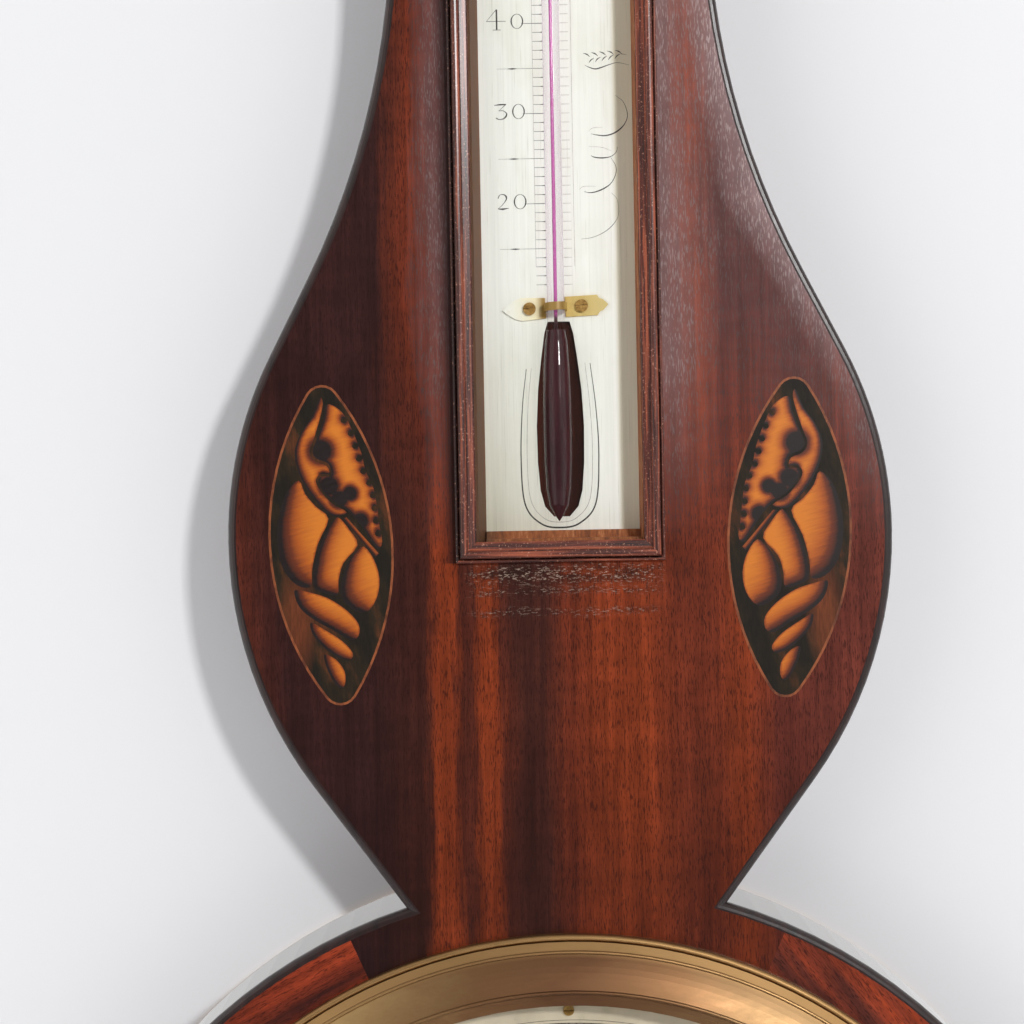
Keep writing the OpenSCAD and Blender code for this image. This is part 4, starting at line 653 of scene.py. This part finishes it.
# Figures as an engraver cuts them, on a base line, with small figures one unit tall. Each stroke
# is a list of points, then the widths that the graver opens it to along the way.
figure_strokes = {
    "0": [(oval(0.42, 0.5, 0.38, 0.48), 0.09, 0.02, 0.09, 0.02, 0.09)],
    "1": [([(0.3, 1), (0.3, 0)], 0.11, 0.11), ([(0.12, 0.88), (0.3, 1)], 0.03, 0.04),
          ([(0.1, 0), (0.5, 0)], 0.03, 0.03)],
    "2": [(rounded([(0.06, 0.74), (0.2, 0.97), (0.5, 0.96), (0.62, 0.72), (0.4, 0.36), (0.05, 0.05)]),
           0.06, 0.03, 0.1, 0.04, 0.02), ([(0.04, 0.05), (0.35, 0.02), (0.76, 0.08)], 0.03, 0.11, 0.03)],
    "3": [([(0.04, 0.93), (0.4, 0.97), (0.82, 0.98)], 0.03, 0.09, 0.07),
          ([(0.8, 0.97), (0.34, 0.56)], 0.04, 0.02),
          (rounded([(0.34, 0.56), (0.64, 0.56), (0.86, 0.34), (0.68, 0.06), (0.34, 0.0), (0.14, 0.1)]),
           0.03, 0.04, 0.1, 0.04, 0.06)],
    "4": [([(0.68, 1.3), (0.68, -0.05)], 0.1, 0.1), ([(0.65, 1.28), (0.0, 0.52)], 0.03, 0.02),
          ([(0.0, 0.52), (1.28, 0.52)], 0.03, 0.03), ([(0.42, -0.05), (0.94, -0.05)], 0.03, 0.03)],
    "5": [([(0.16, 0.95), (0.66, 0.97)], 0.1, 0.04), ([(0.16, 0.95), (0.12, 0.58)], 0.04, 0.03),
          (rounded([(0.12, 0.58), (0.42, 0.64), (0.68, 0.4), (0.5, 0.05), (0.08, 0.04)]),
           0.03, 0.05, 0.1, 0.05, 0.06)],
    "6": [(oval(0.38, 0.36, 0.32, 0.37), 0.04, 0.05, 0.04, 0.08, 0.04),
          (rounded([(0.06, 0.4), (0.2, 0.95), (0.56, 1.26)]), 0.09, 0.06, 0.03)],
    "7": [([(0.04, 0.95), (0.66, 0.97)], 0.1, 0.08),
          (rounded([(0.66, 0.97), (0.4, 0.5), (0.28, 0.0)]), 0.04, 0.06, 0.1)],
    "8": [(oval(0.38, 0.98, 0.26, 0.28), 0.04, 0.04, 0.04, 0.08, 0.04),
          (oval(0.38, 0.36, 0.33, 0.36), 0.08, 0.04, 0.04, 0.04, 0.08)],
    "9": [(oval(0.38, 0.62, 0.32, 0.36), 0.08, 0.04, 0.04, 0.04, 0.08),
          (rounded([(0.7, 0.6), (0.58, 0.1), (0.2, -0.2)]), 0.09, 0.06, 0.03)]}
figure_wide = {"0": 0.84, "1": 0.55, "2": 0.78, "3": 0.9, "4": 1.28, "5": 0.75, "6": 0.75, "7": 0.7,
               "8": 0.75, "9": 0.75}
figure_gap = 0.32
figure_tall = 3.6


def number_width(number, tall):
    """How wide a number comes out when its small figures are that tall."""
    figures = str(number)
    return tall * (sum(figure_wide[f] for f in figures) + figure_gap * (len(figures) - 1))


def write_number(engraving, number, right, base, tall, turn=0.0):
    """Cuts a number that ends at right and stands on base, then turns it about the dial's centre."""
    spin = np.array([[math.cos(turn), -math.sin(turn)], [math.sin(turn), math.cos(turn)]])
    for figure in reversed(str(number)):
        left = right - figure_wide[figure] * tall
        for points, *widths in figure_strokes[figure]:
            stroke = (np.array(points, float) * tall + (left, base)) @ spin
            engraving.line(stroke, *[width * tall for width in widths])
        right = left - figure_gap * tall


ink = Finish("black_wax", Roughness=0.6)
ink.paint(ink.ramp(ink.noise((0.5, 9, 0.5), 4.0, 0.7), (0.35, tint(38, 35, 32)), (0.7, tint(80, 74, 68))))
faint_ink = Finish("worn_wax", Roughness=0.6)
faint_ink.paint(faint_ink.ramp(faint_ink.noise((0.8, 9, 1.2), 4.0, 0.7), (0.35, tint(158, 148, 142)),
                               (0.7, tint(208, 200, 194))))
scale_ink = Engraving(plate_y)
scale_faint = Engraving(plate_y)
scale_start = 11
rule_start = 13
scale_top = 122
ten_reach = -6.9
ten_right = -6.4
ten_drop = 1.25
lozenge = [(-12.9, 0.04), (-10.5, 0.06), (-9.2, 0.36), (-8.0, 0.06), (-tick_in, 0.12)]
for step in range(scale_start, scale_top + 1):
    z = zero_z + step * degree
    if step % 10 == 0:
        write_number(scale_ink, step, ten_right, z - ten_drop, figure_tall)
        scale_ink.line([(ten_reach, z), (-tick_in, z)], 0.08, 0.16)
    elif step % 5 == 0:
        scale_ink.line([(x, z) for x, width in lozenge], *[width for x, width in lozenge])
    else:
        scale_ink.line([(rule_x[0], z), (-tick_in - 0.7, z), (-tick_in, z)], 0.08, 0.1, 0.26)
    scale_faint.line([(tick_in + 0.2, z), (rule_x[1] - 0.6, z)], 0.12, 0.08)
for x in rule_x:
    scale_faint.line([(x, zero_z + rule_start * degree), (x, zero_z + (scale_top + 1) * degree)], 0.09, 0.09)

# A sprig over a waved rule, then four swelling curls with hairline returns below it
sprig_leaves = 5
upper_leaf = np.array([(7.7, 322.6), (8.6, 322.3), (9.3, 321.7)])
lower_leaf = np.array([(9.0, 320.2), (9.5, 320.9), (10.3, 321.4)])
upper_step = np.array((1.9, 0.14))
lower_step = np.array((1.55, 0.22))
for i in range(sprig_leaves):
    scale_ink.curve(upper_leaf + upper_step * i, 0.05, 0.3, 0.05, steps=4)
    scale_ink.curve(lower_leaf + lower_step * i, 0.05, 0.28, 0.05, steps=4)
scale_ink.line([(16.6, 322.3), (18.1, 322.0)], 0.12, 0.04)
scale_ink.curve([(8.0, 319.8), (9.1, 319.2), (10.6, 318.8), (12.2, 319.2), (14.0, 319.8), (15.9, 320.2),
                 (18.6, 319.6)], 0.05, 0.2, 0.3, 0.2, 0.1, 0.05)
curls = (
    ([(15.2, 312.4), (17.0, 310.9), (17.9, 308.5), (17.8, 306.7), (16.7, 304.9), (14.8, 303.5),
      (12.6, 302.9), (10.5, 303.1), (9.2, 303.4)], 0.34),
    ([(15.5, 300.2), (15.1, 298.9), (13.8, 297.9), (11.8, 297.6), (10.0, 297.8), (9.1, 298.2)], 0.3),
    ([(13.8, 297.7), (14.9, 295.8), (15.0, 294.0), (13.9, 291.7), (12.2, 290.4), (10.2, 289.6), (8.6, 289.4),
      (7.3, 289.7)], 0.3),
    ([(13.8, 289.3), (15.1, 287.8), (15.5, 285.6), (15.2, 283.4), (13.7, 281.3), (11.5, 279.7), (8.9, 278.7),
      (6.4, 278.4)], 0.14))
for points, swell in curls:
    scale_ink.curve(points, 0.05, swell * 0.4, swell * 0.5, swell, swell * 0.7, 0.05)
for points in ([(8.5, 304.0), (9.8, 304.8), (12.0, 304.9)], [(8.6, 300.4), (11.8, 300.1), (14.0, 299.2)],
               [(6.2, 290.2), (7.3, 290.9), (10.2, 290.9)]):
    scale_faint.curve(points, 0.05, 0.09, 0.05)
bulb_foot = np.array((0.3, 209.9))
bulb_line = np.array([(-7.2, 247.7), (-8.3, 238.2), (-8.8, 226.1), (-8.0, 215.5), (-4.3, 210.9), bulb_foot,
                      (4.9, 210.9), (8.8, 215.6), (9.7, 227.1), (9.2, 238.2), (8.0, 248.9)])
inner_share = (0.84, 0.97)
inner_lift = (0, 1.3)
scale_ink.curve(bulb_line, 0.14, 0.3, 0.42, 0.3, 0.14)
scale_faint.curve((bulb_line - bulb_foot) * inner_share + bulb_foot + inner_lift, 0.09, 0.15, 0.09)
scale_ink.finish("scale_engraving", ink)
scale_faint.finish("scale_faint_engraving", faint_ink)

# Thermometer tube. A blown glass stem with a long bulb lies over a slot in the plate, filled
# with spirit dyed dark red, and two brass clips with slotted screws hold it down.
bulb_top = 258.9


def clear_glass(name, colour, gloss, bend=1.45):
    """Thin clear glass: light passes with a tint, and the surface mirrors by its angle."""
    glass = Finish(name)
    tree = glass.tree
    tree.nodes.remove(glass.shader)
    through = glass.add("BsdfTransparent", {"Color": colour})
    mirror = glass.add("BsdfGlossy", {"Color": (1, 1, 1, 1), "Roughness": gloss})
    edge = glass.add("Fresnel", {"IOR": bend})
    outside = glass.reckon("SUBTRACT", 1.0, glass.add("NewGeometry", output="Backfacing"))
    both = glass.add("MixShader", {0: glass.reckon("MULTIPLY", edge, outside), 1: through, 2: mirror})
    tree.links.new(both, tree.nodes["Material Output"].inputs["Surface"])
    return glass


def cast_no_shadow(*names):
    """Clear pieces let the light through to what lies behind them."""
    for name in names:
        nodes[name].visible_shadow = False


# The stem's glass is cloudy and faintly purple, and the bulb's is clear but for its rim
stem_glass = Finish("lavender_glass", Roughness=0.08, Specular_IOR_Level=0.6)
cloud = stem_glass.noise((0.5, 0.5, 30), 3.0)
on_stem = stem_glass.share("Z", bulb_top - 1, bulb_top + 3)
stem_tone = stem_glass.ramp(cloud, (0.3, tint(206, 186, 212)), (0.7, tint(240, 230, 240)))
stem_glass.paint(stem_glass.mix(on_stem, tint(196, 158, 150), stem_tone))
rim = stem_glass.add("LayerWeight", {"Blend": 0.5}, output="Facing")
stem_veil = stem_glass.ramp(rim, (0.0, 0.1), (0.5, 0.2), (0.95, 0.75))
bulb_veil = stem_glass.ramp(rim, (0.7, 0.0), (0.9, 0.06), (1.0, 0.7))
stem_glass.feed(stem_glass.shader.inputs["Alpha"], stem_glass.mix(on_stem, bulb_veil, stem_veil))
dress(stem_glass, "thermometer_tube", crease=60)
spirit = Finish("dyed_spirit", Roughness=0.14, Specular_IOR_Level=0.4)
height = spirit.share("Z", bulb_top + 0.5, bulb_top + 2)
murk = spirit.ramp(spirit.noise((3, 5, 26), 3.0), (0.3, tint(50, 25, 31)), (0.7, tint(74, 41, 45)))
spirit.paint(spirit.mix(height, murk, tint(204, 36, 164)))
dress(spirit, "thermometer_spirit", crease=60)
cast_no_shadow("thermometer_tube", "thermometer_spirit")
lug_reach = 14
clip_brass = Finish("clip_brass", Metallic=0.15)
rubbed = clip_brass.noise((3, 3, 3), 5.0, 0.65)
# Painted highlight: the left lug is painted nearly white as the lamp's glare on it; the strap between the
# lugs is a darker gold
lug_tone_and_glare = clip_brass.ramp(
    clip_brass.share("X", -lug_reach, lug_reach), (0.1, tint(255, 254, 244)), (0.33, tint(253, 240, 200)),
    (0.39, tint(166, 130, 62)), (0.56, tint(150, 116, 56)), (0.6, tint(216, 184, 106)),
    (0.9, tint(218, 194, 128)))
stained = clip_brass.mix(clip_brass.ramp(rubbed, (0.55, 0.0), (0.75, 0.4)), lug_tone_and_glare, tint(180, 142, 70))
clip_brass.paint(stained, clip_brass.ramp(rubbed, (0.3, 0.35), (0.7, 0.5)))
dress(clip_brass, "tube_clips")
dark_screw = Finish("browned_steel", Metallic=1.0)
sheen_and_tarnish = dark_screw.noise((0.9, 0.9, 0.9), 4.0, 0.7)
dark_screw.paint(dark_screw.ramp(sheen_and_tarnish, (0.35, tint(132, 96, 48)), (0.7, tint(190, 152, 92))),
                 dark_screw.ramp(sheen_and_tarnish, (0.3, 0.32), (0.7, 0.5)))
dress(dark_screw, "clip_screws", "dial_screws", "bridge_screws")

# Thermometer frame. Reeded mahogany stiles and rails, mitred and glued, hold a pane in a
# rebate; plain slips line the pocket, and a brass butt at the head lets the frame lift.
stile_edge = (stile_x, stile_x + 2.0)
groove_reach = 1.2 * MM
upright_cut = (0.8, 0.8, 26)
level_cut = (26, 0.8, 0.8)
slip_left = (-18, -13)
for name, size in (("left_stile", upright_cut), ("right_stile", upright_cut), ("top_rail", level_cut),
                   ("bottom_rail", level_cut)):
    reeded = Finish(name + "_mahogany", Coat_Weight=0.3, Coat_Roughness=0.2, Specular_IOR_Level=0.3)
    cut = reeded.noise(size, 4.0, 0.6)
    grit = reeded.noise([s * 0.02 + 0.2 for s in size], 4.0, 0.75)
    # Pale specks on the reeds: part dust, part painted glints
    dust = reeded.ramp(reeded.noise((0.5, 0.5, 0.5), 3.0, 0.7), (0.6, 0.0), (0.67, 0.75))
    polish = reeded.ramp(cut, (0.34, tint(34, 15, 12)), (0.5, tint(88, 38, 27)), (0.66, tint(164, 84, 56)))
    # Painted shade: the colour darkens in the grooves between the reeds, by how closed in each point is
    groove_shade_ao = reeded.add("AmbientOcclusion", {"Distance": groove_reach}, output="AO", only_local=True)
    polish = reeded.mix(reeded.ramp(groove_shade_ao, (0.35, 0.85), (0.8, 0.0)), polish, tint(24, 11, 9))
    # Painted shade: the left stile is darkened along its outer edge
    if name == "left_stile":
        painted_flank_shade = reeded.ramp(reeded.share("X", *stile_edge), (0.0, 0.85), (0.7, 0.7), (1.0, 0.0))
        polish = reeded.mix(painted_flank_shade, polish, tint(26, 13, 11))
    reeded.paint(reeded.mix(dust, polish, tint(206, 150, 126)), reeded.ramp(grit, (0.3, 0.3), (0.7, 0.55)))
    reeded.bump(reeded.mix(0.7, cut, grit), 0.09)
    dress(reeded, name, crease=50)
slip = Finish("bare_slip", Specular_IOR_Level=0.25)
sawn = slip.noise((1.2, 1.2, 6), 5.0, 0.7)
sawn_wood = slip.ramp(sawn, (0.3, tint(104, 58, 34)), (0.55, tint(164, 96, 56)), (0.72, tint(206, 148, 102)))
dusty_left = slip.ramp(slip.share("X", *slip_left), (0.0, 0.8), (1.0, 0.0))
slip.paint(slip.mix(dusty_left, sawn_wood, tint(84, 64, 48)), slip.ramp(sawn, (0.3, 0.5), (0.7, 0.7)))
slip.bump(sawn, 0.06)
dress(slip, "lining_slips")
pane = clear_glass("old_pane", tint(254, 255, 254), 0.02, 1.28)
dress(pane, "thermometer_glass", "bezel_glass")
cast_no_shadow("thermometer_glass", "bezel_glass")
dress(cast_brass, "frame_hinge_fixed_leaf", "frame_hinge_moving_leaf", "bezel_hinge_fixed_leaf",
      "bezel_hinge_moving_leaf")

# Movement. The siphon tube of blown glass carries the mercury; a float on a silk thread turns
# the arbor, which runs in a brass bridge, and an endless cord turns the set hand from the key.
tube_glass = clear_glass("blown_glass", tint(240, 247, 246), 0.04)
dress(tube_glass, "siphon_tube", "counterweight_guide", crease=60)
quicksilver = Finish("mercury", Metallic=1.0, Roughness=0.06)
quicksilver.paint(quicksilver.ramp(quicksilver.noise((6, 6, 20), 3.0), (0.3, tint(186, 188, 192)),
                                   (0.7, tint(222, 224, 228))))

# The mercury in the short limb ends below the float's lowest place, and its head rides with the float
float_joint = next(j for j in frame["record"]["behaviour"]["joints"] if j["name"] == "float_travel")
float_fall, float_rise = (abs(limit) for limit in float_joint["range_m"])
float_low, float_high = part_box("glass_float")
limb_low, limb_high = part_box("mercury")
level_gap = 0.5 * MM
head_length = float_fall + float_rise + 2 * level_gap
head_slack = 0.05 * MM
head_radius = (limb_high.y - limb_low.y) / 2 - head_slack
head_sides = 48
meniscus = 0.4 * MM
standing = bmesh.new()
standing.from_mesh(nodes["mercury"].data)
for vert in standing.verts:
    if abs(vert.co.z - float_low.z) < level_gap:
        vert.co.z -= float_fall + level_gap
head = bmesh.new()
bmesh.ops.create_cone(head, cap_ends=True, segments=head_sides, radius1=head_radius, radius2=head_radius,
                      depth=head_length)
rim = [e for e in head.edges if all(v.co.z > 0 for v in e.verts)]
bmesh.ops.bevel(head, geom=rim, offset=meniscus, segments=4, profile=0.5, affect="EDGES")
limb_at = (float_low + float_high) / 2
limb_at.z = float_low.z - head_length / 2
bmesh.ops.translate(head, verts=head.verts, vec=limb_at)
column = new_piece("mercury_column", standing, quicksilver, "case")
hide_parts("mercury")
column_head = new_piece("mercury_head", head, quicksilver, "float")
for piece in (column, column_head):
    piece.data.shade_smooth()
    piece.data.set_sharp_from_angle(angle=math.radians(60))

# The float and the counterweight are milk glass, the bearings brass, the thread silk and the cord twine
milk_glass = Finish("white_glass", Roughness=0.12, Coat_Weight=0.5)
milk_glass.paint(milk_glass.ramp(milk_glass.noise((3, 3, 8), 3.0), (0.3, tint(214, 220, 216)),
                                 (0.7, tint(236, 240, 236))))
dress(milk_glass, "glass_float", "counterweight", crease=60)
dress(cast_brass, "tube_clamp", "arbor_bridge", "arbor_bush", "key_bush", "set_hand_pipe")
steel = Finish("grey_steel", Metallic=1.0)
turned = steel.noise((0.4, 4, 0.4), 3.0)
steel.paint(steel.ramp(steel.noise((2, 2, 2), 4.0), (0.3, tint(120, 120, 122)), (0.7, tint(168, 168, 170))),
            steel.ramp(turned, (0.3, 0.22), (0.7, 0.36)))
dress(steel, "pointer_arbor")
silk = Finish("silk", Roughness=0.7, Sheen_Weight=0.4)
spun = silk.noise((0.3, 0.3, 0.6), 3.0)
silk.paint(silk.ramp(spun, (0.3, tint(206, 196, 170)), (0.7, tint(236, 228, 206))))
dress(silk, "silk_thread", crease=60)
twine = Finish("twine", Roughness=0.85, Sheen_Weight=0.3)
laid = twine.noise((0.5, 0.5, 0.9), 4.0)
twine.paint(twine.ramp(laid, (0.3, tint(122, 92, 58)), (0.7, tint(176, 142, 96))))
dress(twine, "set_cord", crease=60)

# Dial. A round silvered plate, turned on the lathe, is screwed to the wood in a shallow recess.
# Inches of mercury are cut round it in hundredths and filled with black wax.
dial_inches = (28, 31)
inch_turn = 110
ring_radii = (93.0, 88.5)
ring_end = 165
ring_steps = 181
inch_figures = (74, 7.5)
tenth_figures = (81, 3.4)
tenth_tick, half_tick, small_tick = 4.5, 3.2, 2.2
star_rays = 32
star_radii = (13, 17)
long_ray, middle_ray, short_ray = 34, 26, 20
dial_face = silvered("silvered_dial", (9, 9, 9), tint(212, 198, 176), tint(192, 178, 154))
dress(dial_face, "dial_plate")
dial_ink = Engraving(dial_low.y)
for radius, width in ((ring_radii[0], 0.25), (ring_radii[1], 0.14), (ring_radii[0] + 0.8, 0.1)):
    sweep = np.radians(np.linspace(-ring_end, ring_end, ring_steps))
    dial_ink.line(np.stack([radius * np.sin(sweep), radius * np.cos(sweep)], 1), width, width)
for step in range((dial_inches[1] - dial_inches[0]) * 100 + 1):
    turn = math.radians((step / 100 + dial_inches[0] - sum(dial_inches) / 2) * inch_turn)
    length = tenth_tick if step % 10 == 0 else half_tick if step % 5 == 0 else small_tick
    way = np.array((math.sin(turn), math.cos(turn)))
    dial_ink.line([way * ring_radii[0], way * (ring_radii[0] - length)], 0.22, 0.16)
    if step % 100 == 0:
        number, (base, tall) = dial_inches[0] + step // 100, inch_figures
    elif step % 10 == 0:
        number, (base, tall) = step // 10 % 10, tenth_figures
    if step % 10 == 0:
        write_number(dial_ink, number, number_width(number, tall) / 2, base, tall, turn)
for i in range(star_rays):
    turn = math.tau * i / star_rays
    tip = long_ray if i % 4 == 0 else middle_ray if i % 2 == 0 else short_ray
    way = np.array((math.sin(turn), math.cos(turn)))
    dial_ink.line([way * radius for radius in (*star_radii, tip)], 0.1, 1.4, 0.05)
dial_ink.finish("dial_engraving", ink)

# Bezel, glass and hands. A spun brass bezel, hinged at the right, holds the glass by a silvered
# ring; the pointer is blued steel, the set hand is brass, and a bone knob turns it from below.
bezel_side = 80
rim_rub = (110, 112)
bezel_brass = Finish("spun_brass", Metallic=1.0)
aside = bezel_brass.share("X", -bezel_side, bezel_side)
rubbed_rim = bezel_brass.add("MapRange", {
    "Value": bezel_brass.distance(), "From Min": rim_rub[0], "From Max": rim_rub[1]})
age = bezel_brass.noise((16, 5, 7), 5.0, 0.7)
unevenly = bezel_brass.reckon("ADD", aside, bezel_brass.sway(age, 0.25))
browned = bezel_brass.ramp(unevenly, (0.05, tint(196, 164, 112)), (0.35, tint(128, 94, 64)),
                           (0.5, tint(106, 74, 52)), (0.65, tint(120, 88, 60)), (0.95, tint(158, 130, 92)))
bezel_brass.paint(bezel_brass.mix(rubbed_rim, browned, tint(166, 130, 86)),
                  bezel_brass.ramp(age, (0.3, 0.36), (0.7, 0.5)))
bezel_brass.bump(bezel_brass.noise((0.5, 0.5, 0.5), 3.0), 0.006)
dress(bezel_brass, "bezel", crease=34)
dress(dial_face, "glass_ring")
blued = Finish("blued_steel", Metallic=1.0)
blued.paint(blued.ramp(blued.noise((4, 4, 9), 3.0), (0.3, tint(20, 24, 52)), (0.7, tint(44, 54, 98))),
            blued.ramp(blued.noise((1, 1, 4), 3.0), (0.3, 0.2), (0.7, 0.32)))
dress(blued, "pointer_hand")
dress(cast_brass, "set_hand")
bone = Finish("turned_bone", Roughness=0.35, Coat_Weight=0.3)
grain = bone.noise((0.7, 6, 0.7), 4.0, 0.7)
bone.paint(bone.ramp(grain, (0.3, tint(206, 186, 146)), (0.7, tint(236, 224, 196))))
dress(bone, "set_key", crease=40)

# Stage. A white wall stands close behind the case and a pale floor lies below it. A small lamp
# stands to the right, a wide one to the far left, and the room is dim straight ahead of the case.
wall_gap = 1.0 * MM
clear_depth = cad_box[1][1] - cad_box[0][1] + wall_gap
stage_white = tint(239, 239, 241)
floor_drop = 60 * MM
wall_reach = 2.4
floor_reach = 1.0
key_power = 16.6
fill_power = 9.5
room_level = 0.72
room_slope = (0.1, 0, -0.2)
dim_cone = (-0.97, -0.72)
dim_share = 0.12
background_light = 0.9


def backdrop(name, corners):
    """A plain screen that is clear from behind, and lets light from behind reach the case's back."""
    data = bpy.data.meshes.new(name)
    data.from_pydata(corners, [], [(0, 1, 2, 3)])
    plain = Finish(name, Roughness=0.9, Specular_IOR_Level=0.1, Base_Color=stage_white)
    near = plain.reckon("LESS_THAN", plain.add("LightPath", output="Ray Length"), clear_depth)
    behind = plain.reckon("MAXIMUM", plain.add("NewGeometry", output="Backfacing"), near)
    clear = plain.add("BsdfTransparent")
    shown = plain.add("MixShader", {0: behind, 1: plain.shader.outputs[0], 2: clear})
    plain.tree.links.new(shown, plain.tree.nodes["Material Output"].inputs["Surface"])
    data.materials.append(plain.material)
    screen = bpy.data.objects.new(name, data)
    bpy.context.scene.collection.objects.link(screen)


low_z = cad_box[0][2] - floor_drop
round_the_sheet = ((-1, -1), (1, -1), (1, 1), (-1, 1))
backdrop("wall", [(x * wall_reach, wall_gap, low_z + (z + 1) / 2 * wall_reach) for x, z in round_the_sheet])
backdrop("floor", [(x * floor_reach, y * floor_reach, low_z) for x, y in round_the_sheet])


def lamp(name, power, size, right, up, distance):
    """A square soft lamp that looks at the foot of the thermometer from those angles."""
    light = bpy.data.lights.new(name, "AREA")
    light.energy = power
    light.size = size
    aim = Vector((0, face_y, dial_z + view_rise))
    right, up = math.radians(right), math.radians(up)
    way = Vector((math.sin(right), -math.cos(right), math.tan(up)))
    lit = bpy.data.objects.new(name, light)
    lit.matrix_world = (Matrix.Translation(aim + way.normalized() * distance)
                        @ way.to_track_quat("Z", "Y").to_matrix().to_4x4())
    bpy.context.scene.collection.objects.link(lit)


lamp("key_lamp", key_power, size=0.15, right=24, up=16, distance=1.9)
lamp("fill_lamp", fill_power, size=2.0, right=-55, up=5, distance=1.9)
world = bpy.data.worlds.new("studio")
bpy.context.scene.world = world
world.use_nodes = True
room = Nodes(world.node_tree)
direction = room.add("TexCoord")
slope = room.add("VectorMath", {0: direction, 1: room_slope}, output="Value", operation="DOT_PRODUCT")
ahead = room.add("SeparateXYZ", {"Vector": direction}, output="Y")
dim = room.add("MapRange", {
    "Value": ahead, "From Min": dim_cone[0], "From Max": dim_cone[1], "To Min": dim_share})
level = room.reckon("MULTIPLY", room.reckon("ADD", slope, room_level), dim)
seen = room.add("LightPath", output="Is Camera Ray")
strength = room.add("Mix", {"Factor": seen, "A": level, "B": background_light})
room.feed(room.tree.nodes["Background"].inputs["Strength"], strength)
room.tree.nodes["Background"].inputs["Color"].default_value = (1, 1, 1, 1)
